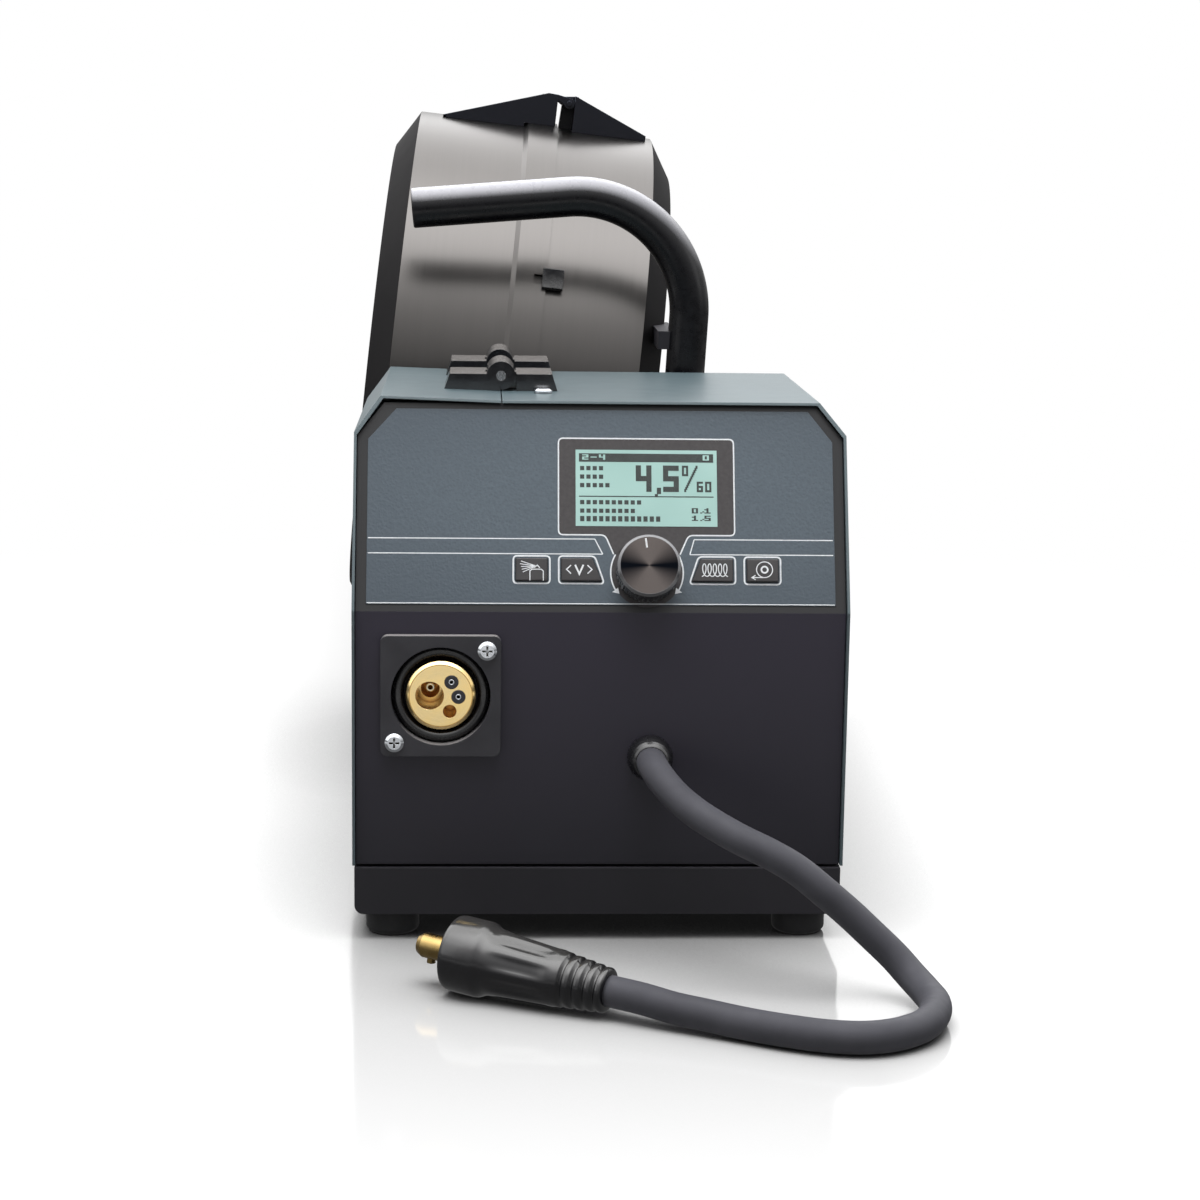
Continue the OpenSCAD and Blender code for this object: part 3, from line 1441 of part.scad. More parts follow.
module weld_cable() {
    pts = concat([lead_points[0]], [for (p = smooth(concat(lead_points, [plug_at]), 2)) p]);
    path = [for (i = [1:len(pts) - 1]) pts[i]];
    echo(lead_least_gap = least_gap(path, lead_r, 10));
    color([0.05, 0.05, 0.055]) machine()
        sweep(concat(path, [plug_at]), lead_r, 12, [0, 0, 1], [0, -1, 0], plug_dir);
}

module plug_sleeve() {
    t = plug_tail_d/2;
    c = plug_d/2;
    n = plug_len;
    color([0.03, 0.03, 0.03]) machine() on_plug() rotate([0, 90, 0]) difference() {
        rotate_extrude() polygon([[0, 0], [t - 1.5, 0], [t, 1], [t, 3.4], [t - 2, 4], [t - 2, 5.6],
            [t + 0.5, 6.2], [t + 0.5, 9], [t - 1.5, 9.6], [t - 1.5, 11.2], [t + 1, 11.8],
            [t + 1, 14.8], [t - 1, 15.4], [t - 1, 17], [t + 1.5, 17.6], [t + 1.5, 20.8],
            [t - 0.5, 21.4], [t - 0.5, 23], [t + 2, 24], [c - 2.5, n - 24], [c - 0.6, n - 20],
            [c, n - 18], [c, n - 2], [c - 2, n], [0, n]]);
        translate([0, 0, n - 4]) cylinder(h = 5, d = plug_d - 9);
    }
}

module plug_pin() {
    n = plug_len - 4;
    r = plug_pin_d/2;
    color(c_brass) machine() on_plug() rotate([0, 90, 0]) {
        translate([0, 0, n]) rotate_extrude() polygon([[0, 0], [r + 3, 0], [r + 3, 3],
            [r, 3], [r, plug_pin_len + 1], [r - 1.6, plug_pin_len + 4],
            [0, plug_pin_len + 4]]);
        translate([r - 1, 0, n + plug_pin_len - 3]) rotate([0, 90, 0])
            cylinder(h = 3.2, d = 4.4);
    }
}

base_tray();
rubber_feet();
front_panel();
panel_overlay();
display_window();
display_board();
encoder_knob();
key_gas();
key_voltage();
key_program();
key_wire();
socket_flange();
socket_body();
pilot_contacts();
machine_screws();
cable_gland();
inner_lead();
lead_lug();
gas_hose();
top_cover();
divider_wall();
rear_bulkhead();
fixed_leaves();
hinge_pins();
side_door();
moving_leaves();
door_latch();
drive_plate();
drive_motor();
centre_gear();
drive_pins();
feed_roll_front();
feed_roll_rear();
pressure_arm();
pressure_roll_front();
pressure_roll_rear();
tension_rod();
tension_spring();
tension_knob();
wire_guides();
case_band_right();
case_pan_right();
case_roof_right();
case_band_left();
case_pan_left();
case_roof_left();
case_catch();
spool_hub();
hub_nut();
wire_spool();
wire_winding();
rear_housing();
gas_valve();
rear_sockets();
handle_tube();
handle_grip();
handle_clamps();
weld_cable();
plug_sleeve();
plug_pin();
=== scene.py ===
# %% [markdown]
# # A wire feeder for arc welding
# A wire feeder pushes welding wire from a spool through a hose to the torch. This one is a box of bent
# sheet steel with a leaning control panel, a tilted round case that holds the spool, a bent handle and a
# short thick lead with its plug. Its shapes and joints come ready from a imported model, so this lesson is
# about what the eye adds to them: paint, print, brushed steel, rubber and light.

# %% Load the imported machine
import math

import bmesh
import bpy
from mathutils import Matrix, Vector


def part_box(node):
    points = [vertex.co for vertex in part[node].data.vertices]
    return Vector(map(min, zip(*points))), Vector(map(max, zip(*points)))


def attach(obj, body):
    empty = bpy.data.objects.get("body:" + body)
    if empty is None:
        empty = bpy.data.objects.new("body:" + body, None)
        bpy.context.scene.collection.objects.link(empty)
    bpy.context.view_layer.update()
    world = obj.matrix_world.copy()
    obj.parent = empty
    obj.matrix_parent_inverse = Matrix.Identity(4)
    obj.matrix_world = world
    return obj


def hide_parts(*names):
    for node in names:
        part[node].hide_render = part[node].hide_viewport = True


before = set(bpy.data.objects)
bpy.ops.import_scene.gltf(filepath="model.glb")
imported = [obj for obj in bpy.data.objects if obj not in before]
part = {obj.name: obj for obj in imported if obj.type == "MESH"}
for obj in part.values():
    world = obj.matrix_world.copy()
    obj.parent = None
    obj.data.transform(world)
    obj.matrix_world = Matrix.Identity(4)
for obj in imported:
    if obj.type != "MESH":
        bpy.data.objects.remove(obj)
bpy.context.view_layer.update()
print("pieces in the packed machine:", len(part))

# %% [markdown]
# ## One ruler for every piece
# A fitter measures from the machine's front edge in millimetres, and Blender works in metres from the
# middle of the whole thing. Two small functions carry a place from the drawing to the scene: one for the
# machine, and one for its leaning panel, where it is handier to say how far along, how far up the slope
# and how far out of it a thing lies. The places that several pieces share are written here too.

# %% From the drawing's millimetres to metres
MIDDLE = (-8.762879, 291.832135)
FOLD_HEIGHT = 180.0
LEAN = math.radians(21.3)


def place(x, y, z):
    return Vector(((x - MIDDLE[0]) / 1000, (y - MIDDLE[1]) / 1000, z / 1000))


def on_panel(x, up, out):
    return place(x, up * math.sin(LEAN) - out * math.cos(LEAN),
                 FOLD_HEIGHT + up * math.cos(LEAN) + out * math.sin(LEAN))


KNOB, KNOB_TOP = (24.2, 21.7), 20
SOCKET = (-85.3, 135.1)
PLUG_FOOT = (0, -126, 13)
print("the knob's middle is at", [round(v, 3) for v in on_panel(*KNOB, KNOB_TOP)])

# %% [markdown]
# ## The camera
# The machine is looked at from a little above and a little to the left, from more than a metre away with
# a long lens, so that its upright edges stay almost parallel. A camera is set most exactly by its own
# three directions, ahead, sideways and up, which together make its turning matrix.

# %% Aim the camera
SENSOR, NEAREST, FARTHEST = 36, 0.05, 60


def aim_camera(spot, down, right, roll, lens):
    ahead = Vector((math.sin(right) * math.cos(down), math.cos(right) * math.cos(down), -math.sin(down)))
    side = ahead.cross(Vector((0, 0, 1))).normalized()
    up = side.cross(ahead)
    side, up = side * math.cos(roll) + up * math.sin(roll), up * math.cos(roll) - side * math.sin(roll)
    eye = bpy.data.cameras.new("front_camera")
    eye.lens, eye.sensor_width, eye.clip_start, eye.clip_end = lens, SENSOR, NEAREST, FARTHEST
    camera = bpy.data.objects.new("front_camera", eye)
    camera.matrix_world = Matrix.Translation(spot) @ Matrix((side, up, -ahead)).transposed().to_4x4()
    bpy.context.scene.collection.objects.link(camera)
    bpy.context.scene.camera = camera
    return camera


camera = aim_camera(place(-67.6, -1356.9, 435.4), 0.181, 0.049, 0.014, 78.03)
print("camera height in metres:", round(camera.matrix_world.translation.z, 3))

# %% [markdown]
# ## The way the lead lies
# The lead is a flexible welding cable, 16 mm thick. It leaves its gland straight, sinks to the floor
# under its own weight, lies in one open loop and comes back to its plug. A cable can't have a corner, so
# the few points that were measured along it are joined by a smooth curve that passes through each one.

# %% Points along the lead, in the drawing's millimetres
LEAD_RUN = [
    (27, -11, 101), (28, -20, 100), (31, -31, 97), (38, -44, 91), (49, -60, 85), (66, -76, 78),
    (84, -85, 71), (97, -89, 64), (110, -92, 54), (123, -93, 43), (135, -95, 32), (146, -99, 22),
    (154, -106, 14), (160, -117, 9), (162, -131, 8), (159, -147, 8), (151, -163, 8), (137, -175, 8),
    (121, -180, 8), (103, -178, 8), (85, -171, 8), (66, -161, 8), (47, -151, 9), (31, -143, 10),
    (16, -135, 12), PLUG_FOOT]
LEAD_RADIUS = 0.008
PLUG_YAW, PLUG_PITCH = math.radians(151.2), math.radians(4.2)
plug_way = Vector((math.cos(PLUG_YAW) * math.cos(PLUG_PITCH), math.sin(PLUG_YAW) * math.cos(PLUG_PITCH),
                   math.sin(PLUG_PITCH)))


def smooth_run(points, steps):
    knots = [Vector(p) for p in points]
    knots = [knots[0]] + knots + [knots[-1]]
    run = []
    for a, b, c, d in zip(knots, knots[1:], knots[2:], knots[3:]):
        for k in range(steps):
            t = k / steps
            run.append(0.5 * (2 * b + (c - a) * t + (2 * a - 5 * b + 4 * c - d) * t ** 2
                              + (3 * b - a - 3 * c + d) * t ** 3))
    return run + [knots[-1]]


lead_path = [place(*p) for p in smooth_run(LEAD_RUN, 5)]

# %% [markdown]
# ## Sweeping a ring along the lead
# The rubber jacket is a tube. It could be a bevelled curve, but a mesh swept by hand lets each ring keep
# its direction, so the fine moulding line that runs along a real jacket stays a clean line and doesn't
# wind round it. Each new ring starts from the last one's sideways direction, laid square to the path.

# %% Make meshes, and sweep a tube along points
def into_scene(name, data):
    thing = bpy.data.objects.new(name, data)
    bpy.context.scene.collection.objects.link(thing)
    return thing


def carry(thing, body, smooth):
    if smooth:
        thing.data.polygons.foreach_set("use_smooth", [True] * len(thing.data.polygons))
    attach(thing, body)
    return thing


def piece_from(name, builder, body, smooth=False):
    bmesh.ops.recalc_face_normals(builder, faces=builder.faces[:])
    mesh = bpy.data.meshes.new(name)
    builder.to_mesh(mesh)
    builder.free()
    return carry(into_scene(name, mesh), body, smooth)


def join_rings(builder, rings):
    for a, b in zip(rings, rings[1:]):
        for k in range(len(a)):
            n = (k + 1) % len(a)
            builder.faces.new((a[k], a[n], b[n], b[k]))


def sweep(builder, path, radii, sides, first, last, ridge=0.0):
    layer = builder.loops.layers.uv.verify()
    side, gone, rings = first.cross(Vector((0, 0, 1))).normalized(), 0.0, []
    for i, spot in enumerate(path):
        way = first if i == 0 else last if i == len(path) - 1 else (path[i + 1] - path[i - 1]).normalized()
        side = (side - way * side.dot(way)).normalized()
        across = way.cross(side)
        gone += (spot - path[i - 1]).length if i else 0.0
        ring = []
        for k in range(sides):
            turn = 2 * math.pi * k / sides
            reach = radii[i] + (ridge if k == 0 else 0.0)
            ring.append(builder.verts.new(spot + (side * math.cos(turn) + across * math.sin(turn)) * reach))
        rings.append((ring, gone))
    for (ring, start), (following, end) in zip(rings, rings[1:]):
        for k in range(sides):
            n = (k + 1) % sides
            face = builder.faces.new((ring[k], ring[n], following[n], following[k]))
            for loop, uv in zip(face.loops, ((k, start), (k + 1, start), (k + 1, end), (k, end))):
                loop[layer].uv = (uv[0] / sides, uv[1])
    builder.faces.new(list(reversed(rings[0][0])))
    builder.faces.new(rings[-1][0])


MOULD_LINE = 0.00022
builder = bmesh.new()
sweep(builder, lead_path, [LEAD_RADIUS] * len(lead_path), 32, Vector((0, -1, 0)), plug_way, MOULD_LINE)
lead_jacket = piece_from("lead_jacket", builder, "chassis", smooth=True)
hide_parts("weld_cable")
print("faces in the jacket:", len(lead_jacket.data.polygons))

# %% [markdown]
# ## The plug's rubber boot
# A welding plug wears a thick rubber boot: a tail with flex ribs, a long grip that widens towards the
# front and has shallow hollows for the fingers, and a round collar. All of it is turned about one axis,
# except the hollows, so the outline is spun as rings and the hollows are pressed into the rings' radii.

# %% Spin the boot, in millimetres along its axis and out from it
TAIL, COLLAR = 11.5, 19.5
RIB_STARTS, RIB_STEP, RIB_DIP = (3.4, 9.0, 14.8, 20.8), 0.6, 1.9
GRIP_FROM, GRIP_TO, GRIP_STEPS = 28, 62, 14
HOLLOWS, HOLLOW_FROM, HOLLOW_TO, HOLLOW_DEEP, HOLLOW_WIDE = 8, 30, 61, 1.1, 0.62


def boot_outline():
    line = [(0.0, TAIL - 1.8), (0.5, TAIL - 0.5), (1.2, TAIL)]
    rib = TAIL
    for start in RIB_STARTS:
        dip = rib - RIB_DIP
        line += [(start - 0.4, rib), (start, rib - 0.3), (start + 0.5, dip), (start + 1.9, dip),
                 (start + 2.5, rib + 0.3), (start + 3.0, rib + RIB_STEP)]
        rib += RIB_STEP
    line += [(26.4, TAIL + 2.6)]
    narrow, wide = TAIL + 3, COLLAR - 2.6
    for k in range(GRIP_STEPS + 1):
        t = k / GRIP_STEPS
        line.append((GRIP_FROM + (GRIP_TO - GRIP_FROM) * t, narrow + (wide - narrow) * t ** 0.9))
    line += [(64.0, 17.0), (66.2, 17.6), (68.0, 18.6), (69.4, 19.25), (71.0, COLLAR), (78.0, COLLAR),
             (84.5, COLLAR), (86.3, 19.3), (87.4, 18.8), (88.0, 17.8), (88.0, 16.0), (87.2, 15.4),
             (84.2, 15.2), (84.0, 14.6)]
    return line


def hollow_depth(along, turn):
    if not HOLLOW_FROM < along < HOLLOW_TO:
        return 0.0
    reach = math.sin(math.pi * (along - HOLLOW_FROM) / (HOLLOW_TO - HOLLOW_FROM)) ** 0.5
    aside = abs((turn / (2 * math.pi) * HOLLOWS) % 1 - 0.5) * 2
    return HOLLOW_DEEP * reach * max(0.0, 1 - (aside / HOLLOW_WIDE) ** 4)


def spin_on_plug(builder, outline, sides):
    start = place(*PLUG_FOOT)
    side = plug_way.cross(Vector((0, 0, 1))).normalized()
    up = side.cross(plug_way)
    rings = []
    for along, radius in outline:
        ring = []
        for k in range(sides):
            turn = 2 * math.pi * k / sides
            reach = (radius - hollow_depth(along, turn)) / 1000
            ring.append(builder.verts.new(start + plug_way * along / 1000
                                          + (side * math.cos(turn) + up * math.sin(turn)) * reach))
        rings.append(ring)
    join_rings(builder, rings)
    builder.faces.new(rings[0])
    builder.faces.new(rings[-1])


builder = bmesh.new()
spin_on_plug(builder, boot_outline(), 96)
plug_boot = piece_from("plug_boot", builder, "chassis", smooth=True)
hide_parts("plug_sleeve")
print("faces in the boot:", len(plug_boot.data.polygons))

# %% [markdown]
# ## How a finish is put together
# Every finish below is one Principled shader with a few layers in front of it: a grain that varies the
# colour, a grain that varies the gloss, and a relief that bends the light. Two classes keep the wiring
# short: the first works in any node tree, so the world and the geometry trees use it too, and the second
# knows the shader. All grains read Object coordinates, which are real metres here, so a scale of 1000
# gives grains about a millimetre apart. The Bevel node rounds sharp folded edges in the light, as real
# paint does.

# %% A helper for finishes
class Wiring:
    def __init__(self, tree):
        self.tree = tree

    def feed(self, socket, value):
        if isinstance(value, bpy.types.NodeSocket):
            self.tree.links.new(value, socket)
        else:
            socket.default_value = value

    def add(self, kind, sockets=None, **settings):
        node = self.tree.nodes.new(kind)
        for key, value in settings.items():
            setattr(node, key, value)
        for key, value in (sockets or {}).items():
            self.feed(node.inputs[key], value)
        return node

    def maths(self, how, *values):
        return self.add("ShaderNodeMath", dict(enumerate(values)), operation=how).outputs["Value"]

    def times(self, product, *others):
        for other in others:
            product = self.maths("MULTIPLY", product, other)
        return product

    def vector(self, how, *values):
        node = self.add("ShaderNodeVectorMath", dict(enumerate(values)), operation=how)
        return node.outputs["Value" if how == "LENGTH" else "Vector"]

    def spread(self, fac, low, high, start=0.3, end=0.7, how="LINEAR"):
        sockets = {"Value": fac, "From Min": start, "From Max": end, "To Min": low, "To Max": high}
        return self.add("ShaderNodeMapRange", sockets, interpolation_type=how).outputs["Result"]

    def along(self, axis, vector):
        return self.add("ShaderNodeSeparateXYZ", {0: vector}).outputs[axis]


class Finish(Wiring):
    def __init__(self, name, colour, rough, metal=0.0, gloss=0.5):
        self.material = bpy.data.materials.new(name)
        self.material.use_nodes = True
        super().__init__(self.material.node_tree)
        self.spot = self.add("ShaderNodeTexCoord").outputs["Object"]
        self.skin = self.tree.nodes["Principled BSDF"]
        self.normal = None
        self.set("Base Color", (*colour, 1))
        self.set("Roughness", rough)
        self.set("Metallic", metal)
        self.set("Specular IOR Level", gloss)

    def set(self, socket, value):
        self.feed(self.skin.inputs[socket], value)

    def frame(self, centre, turn=(0, 0, 0), stretch=(1, 1, 1)):
        sockets = {"Vector": self.spot, "Location": centre, "Rotation": turn, "Scale": stretch}
        return self.add("ShaderNodeMapping", sockets, vector_type="TEXTURE").outputs["Vector"]

    def grain(self, scale, detail=2.0, at=None):
        sockets = {"Scale": scale, "Detail": detail, "Vector": at or self.spot}
        return self.add("ShaderNodeTexNoise", sockets).outputs["Fac"]

    def open_air(self, distance):
        return self.add("ShaderNodeAmbientOcclusion", {"Distance": distance}, samples=8).outputs["AO"]

    def tint(self, fac, low, high):
        mix = self.add("ShaderNodeMix", {"Factor": fac}, data_type="RGBA")
        colours = [socket for socket in mix.inputs if socket.type == "RGBA"]
        for socket, value in zip(colours, (low, high)):
            self.feed(socket, (*value, 1) if isinstance(value, tuple) else value)
        result = next(socket for socket in mix.outputs if socket.type == "RGBA")
        self.set("Base Color", result)
        return result

    def mottle(self, scale, detail, dark, light):
        return self.tint(self.spread(self.grain(scale, detail), 0, 1), dark, light)

    def gloss(self, fac, low, high):
        self.set("Roughness", self.spread(fac, low, high))

    def bend_light(self, normal):
        self.normal = normal
        self.set("Normal", normal)

    def soften(self, radius_mm):
        edge = self.add("ShaderNodeBevel", {"Radius": radius_mm / 1000}, samples=4)
        self.bend_light(edge.outputs["Normal"])

    def relief(self, fac, depth_mm, strength=1.0):
        bump = self.add("ShaderNodeBump", {"Distance": depth_mm / 1000, "Strength": strength, "Height": fac})
        if self.normal is not None:
            self.feed(bump.inputs["Normal"], self.normal)
        self.bend_light(bump.outputs["Normal"])

    def upward(self, start, end):
        return self.spread(self.along("Z", self.normal), 0, 1, start, end)

    def reach(self, centre, stretch):
        return self.vector("LENGTH", self.frame(centre, stretch=stretch))

    def mixed(self, fac, first, second):
        return self.add("ShaderNodeMixShader", {0: fac, 1: first, 2: second}).outputs["Shader"]

    def on(self, *things):
        for thing in things:
            mesh = part[thing].data if isinstance(thing, str) else thing.data
            if not len(mesh.materials):
                mesh.materials.append(self.material)
            for k in range(len(mesh.materials)):
                mesh.materials[k] = self.material
        return self


print("finish helper ready")

# %% [markdown]
# ## Painted sheet
# The covers are powder coated: the powder melts in an oven and flows into a skin with a slight orange
# peel. The cover and the door are a grey blue, the rest is nearly black. Two grains are enough for each: a
# fine one for the peel, and a broad faint one, because no coat is equally thick. Moulded parts are built
# up in the same way with coarser grains, so one function makes both. A face that looks up can have a
# paler tint of its own: a painted highlight that stands in for the light from above.

# %% Powder coats
POWDER, MOULDED = (9, 3, 60, 0.015, 0.02, 2), (45, 4, 220, 0.05, 0.07, 3)


def coated(name, dark, light, rough, grain, depth, gloss=0.5, round_mm=0.5, top=None, turn=(0.1, 0.8),
           kind=POWDER):
    cloud, cloud_detail, sheen, smoother, rougher, grain_detail = kind
    coat = Finish(name, light, rough, gloss=gloss)
    coat.soften(round_mm)
    body = coat.mottle(cloud, cloud_detail, dark, light)
    # a top colour on faces that look up is a painted highlight of the light from above
    if top:
        coat.tint(coat.upward(*turn), body, top)
    coat.gloss(coat.grain(sheen, 3), rough - smoother, rough + rougher)
    coat.relief(coat.grain(grain, grain_detail), depth)
    return coat


coated("teal_powder_coat", (0.05, 0.074, 0.084), (0.06, 0.086, 0.096), 0.33, 900, 0.03,
       gloss=0.8).on("top_cover", "side_door")
# the roof's faces that look up get a pale blue top colour: a painted highlight of their lit top edges
coated("roof_powder_coat", (0.007, 0.0075, 0.011), (0.0095, 0.0102, 0.0145), 0.34, 900, 0.03, gloss=0.3,
       top=(0.12, 0.15, 0.22), turn=(0.3, 0.8)).on("case_roof_left", "case_roof_right")
coated("black_powder_coat", (0.0125, 0.012, 0.015), (0.017, 0.016, 0.02), 0.5, 1300, 0.03,
       gloss=0.35).on("base_tray", "rear_housing", "door_latch", "handle_clamps")
coated("pan_powder_coat", (0.009, 0.0085, 0.009), (0.0125, 0.012, 0.0125), 0.66, 1300, 0.03,
       gloss=0.06).on("case_pan_left", "case_pan_right")
coated("grey_enamel", (0.2, 0.21, 0.22), (0.27, 0.28, 0.3), 0.38, 400, 0.04).on("drive_motor", "pressure_arm")
face = coated("panel_powder_coat", (0.021, 0.019, 0.028), (0.026, 0.0235, 0.034), 0.44, 1500, 0.02, gloss=0.4)
# the front panel is painted darker towards its foot, and darker still on faces that look up: painted shade
upright = face.tint(face.spread(face.along("Z", face.spot), 0, 1, 0.03, 0.17), (0.0135, 0.013, 0.0175),
                    (0.028, 0.0245, 0.038))
face.tint(face.upward(0.15, 0.3), upright, (0.006, 0.006, 0.007))
face.on("front_panel")
print("powder coats:", 6)

# %% [markdown]
# ## The printed film
# The leaning panel wears a printed polycarbonate film with a leather-like grain. Grain of this kind is
# rolled into the film as small cells with soft walls, so a cell texture with smooth distances makes it
# better than plain noise, with some noise laid over it so that no cell repeats. A second tint, which
# follows the distance from the film's middle, darkens it towards its ends and edges: painted shade.

# %% Grained film
CELLS, FILM_MIDDLE, FILM_REACH = 620, (20, 20, 235), (0.19, 1, 0.062)
film = Finish("printed_film", (0.064, 0.082, 0.098), 0.42, gloss=0.45)
film.soften(0.3)
cells = film.add("ShaderNodeTexVoronoi", {"Scale": CELLS, "Vector": film.frame((0, 0, 0), (0.3, 0.2, 0.5))},
                 feature="SMOOTH_F1").outputs["Distance"]
grain = film.maths("ADD", cells, film.grain(900, 3))
print_colour = film.tint(film.spread(grain, 0, 1, 0.5, 1.3), (0.056, 0.0715, 0.0865), (0.069, 0.0885, 0.107))
# darker towards the film's ends and edges: painted shade
edge_shade = film.spread(film.reach(place(*FILM_MIDDLE), FILM_REACH), 0, 1, 0.45, 1.15)
film.tint(edge_shade, print_colour, (0.043, 0.056, 0.07))
film.relief(grain, 0.09, 0.8)
film.on("panel_overlay")
print("film cells to a metre:", CELLS)

# %% [markdown]
# ## Brushed sheet
# The spool case is rolled from stainless sheet that was brushed along its length before it was rolled, so
# the brush lines run up the drum. A noise squeezed hard across the drum and left long along it gives such
# lines. They vary the gloss more than the colour, and make a very shallow relief.

# %% Brushed steel for the case, and other bare metal
CASE_TILT = math.radians(6)
case_centre = place(-46, 425, 262)
BROAD_ACROSS, BROAD_ALONG = 240, 8


def brushed(name, dark, light, rough, uneven=0.07, fine=2600, length=30, depth=0.006, centre=(0, 0, 0),
            turn=(0, 0, 0)):
    metal = Finish(name, light, rough, metal=1.0)

    def streaks(detail, across, along):
        return metal.grain(1.0, detail, at=metal.frame(centre, turn, (1 / across, 1 / along, 1 / along)))

    lines, broad = streaks(3, fine, length), streaks(2, BROAD_ACROSS, BROAD_ALONG)
    both = metal.maths("ADD", metal.times(lines, 0.6), metal.times(broad, 0.4))
    metal.tint(metal.spread(both, 0, 1, 0.35, 0.65), dark, light)
    metal.set("Roughness", metal.spread(both, rough - uneven, rough + uneven, 0.35, 0.65))
    metal.relief(lines, depth)
    return metal


brushed("brushed_case_steel", (0.098, 0.0935, 0.0905), (0.104, 0.099, 0.096), 0.3, 0.015, depth=0.0012,
        centre=case_centre, turn=(0, CASE_TILT, 0)).on("case_band_left", "case_band_right")
brushed("ground_steel", (0.5, 0.5, 0.52), (0.66, 0.66, 0.68), 0.24, fine=3000, length=200).on(
    "hinge_pins", "tension_rod", "tension_spring", "drive_pins", "handle_tube", "centre_gear",
    "feed_roll_front", "feed_roll_rear", "pressure_roll_front", "pressure_roll_rear")
zinc = Finish("zinc_plate", (0.5, 0.52, 0.55), 0.36, metal=1.0)
zinc.soften(0.4)
spangle = zinc.add("ShaderNodeTexVoronoi", {"Scale": 120, "Vector": zinc.spot}).outputs["Color"]
zinc.tint(zinc.spread(spangle, 0, 1, 0.2, 0.8), (0.42, 0.44, 0.47), (0.56, 0.58, 0.61))
zinc.gloss(zinc.grain(90, 3), 0.3, 0.46)
zinc.on("divider_wall", "rear_bulkhead", "drive_plate")
bright = Finish("bright_plated_screw", (0.78, 0.78, 0.8), 0.16, metal=1.0)
bright.soften(0.25)
# Ambient Occlusion darkens the cross recess in each head: painted shade
bright.tint(bright.spread(bright.open_air(0.0022), 0, 1, 0.35, 0.8), (0.05, 0.045, 0.04), (0.62, 0.64, 0.67))
bright.gloss(bright.grain(500, 3), 0.1, 0.26)
bright.relief(bright.grain(1400, 2), 0.01)
bright.on("machine_screws")
print("bare metals:", 4)

# %% [markdown]
# ## Turned brass
# The torch socket and the plug's pin are turned on a lathe. The tool leaves very fine rings about the
# axis, which catch light as faint bright arcs. A ring pattern needs to know where the axis is, so a
# Mapping node puts its own origin on that axis first. The socket's bores are darkened where an Ambient
# Occlusion node finds them enclosed, and a dark ring round its face stands in for the shade of a groove
# there: both are painted shade.

# %% Brass
LATHE_RINGS, GROOVE_IN, GROOVE_OUT = 130, (0.01645, 0.0166), (0.0169, 0.01705)


def turned(name, dark, light, rough, centre, turn):
    metal = Finish(name, light, rough, metal=1.0)
    metal.soften(0.25)
    rings = {"Scale": LATHE_RINGS, "Distortion": 1.2, "Detail": 2.0, "Detail Scale": 3.0,
             "Vector": metal.frame(centre, turn)}
    wave = metal.add("ShaderNodeTexWave", rings, wave_type="RINGS", rings_direction="Z", wave_profile="SIN")
    stain = metal.grain(140, 3)
    plain = metal.tint(metal.spread(stain, 0, 1), dark, light)
    metal.gloss(stain, rough - 0.04, rough + 0.07)
    metal.relief(wave.outputs["Fac"], 0.004)
    return metal, plain


socket_centre = place(SOCKET[0], 0, SOCKET[1])
brass, plain = turned("turned_brass", (0.86, 0.63, 0.27), (1.0, 0.78, 0.4), 0.17, socket_centre,
                      (math.pi / 2, 0, 0))
# a dark ring where the face has a groove, and bores darkened by Ambient Occlusion: painted shade
around = brass.reach(socket_centre, (1, 1000, 1))
rise, fall = brass.spread(around, 0, 1, *GROOVE_IN), brass.spread(around, 1, 0, *GROOVE_OUT)
groove_shade = brass.tint(brass.times(rise, fall, 0.75), plain, (0.4, 0.2, 0.03))
brass.tint(brass.spread(brass.open_air(0.006), 0, 1, 0.3, 0.75), (0.3, 0.1, 0.012), groove_shade)
brass.on("socket_body", "wire_guides", "gas_valve")
plug_turn = Vector((0, 0, 1)).rotation_difference(plug_way).to_euler()
plug_brass, plain = turned("turned_plug_brass", (0.26, 0.175, 0.065), (0.35, 0.25, 0.1), 0.26,
                           place(*PLUG_FOOT), plug_turn)
plug_brass.on("plug_pin")
tinned = Finish("tinned_copper", (0.6, 0.58, 0.55), 0.3, metal=1.0)
tinned.soften(0.4)
tinned.gloss(tinned.grain(200, 3), 0.22, 0.42)
tinned.relief(tinned.grain(500, 3), 0.03)
tinned.on("lead_lug")
print("turned and tinned finishes:", 3)

# %% [markdown]
# ## Rubber and moulded plastic
# The lead and the feet are matt black rubber. The plug's boot, the gland and the hinges are smooth and
# glossy, and the handle wears a satin sleeve. Mouldings such as the socket's flange carry a spark-eroded
# grain, fine and sharp, which is a busy small noise with more relief than a paint's.

# %% Black rubbers and plastics
def moulded(name, dark, light, rough, grain=1500, depth=0.04, gloss=0.4, round_mm=0.4, **tint):
    return coated(name, dark, light, rough, grain, depth, gloss, round_mm, kind=MOULDED, **tint)


moulded("lead_rubber", (0.054, 0.054, 0.062), (0.07, 0.07, 0.08), 0.5, 700, 0.015,
        gloss=0.12).on(lead_jacket, "inner_lead")
# the boot's faces that look up are paler: a painted highlight
moulded("boot_rubber", (0.0035, 0.0035, 0.0045), (0.006, 0.006, 0.0075), 0.17, 900, 0.012, gloss=0.75,
        top=(0.03, 0.029, 0.028), turn=(0.35, 0.95)).on(plug_boot)
moulded("foot_rubber", (0.008, 0.008, 0.009), (0.014, 0.014, 0.015), 0.6, gloss=0.3).on("rubber_feet")
gland_black = moulded("gland_nylon", (0.006, 0.006, 0.007), (0.009, 0.009, 0.0105), 0.24, 900, 0.01,
                      gloss=0.7, round_mm=0.8)
gland_black.on("cable_gland", "case_catch")
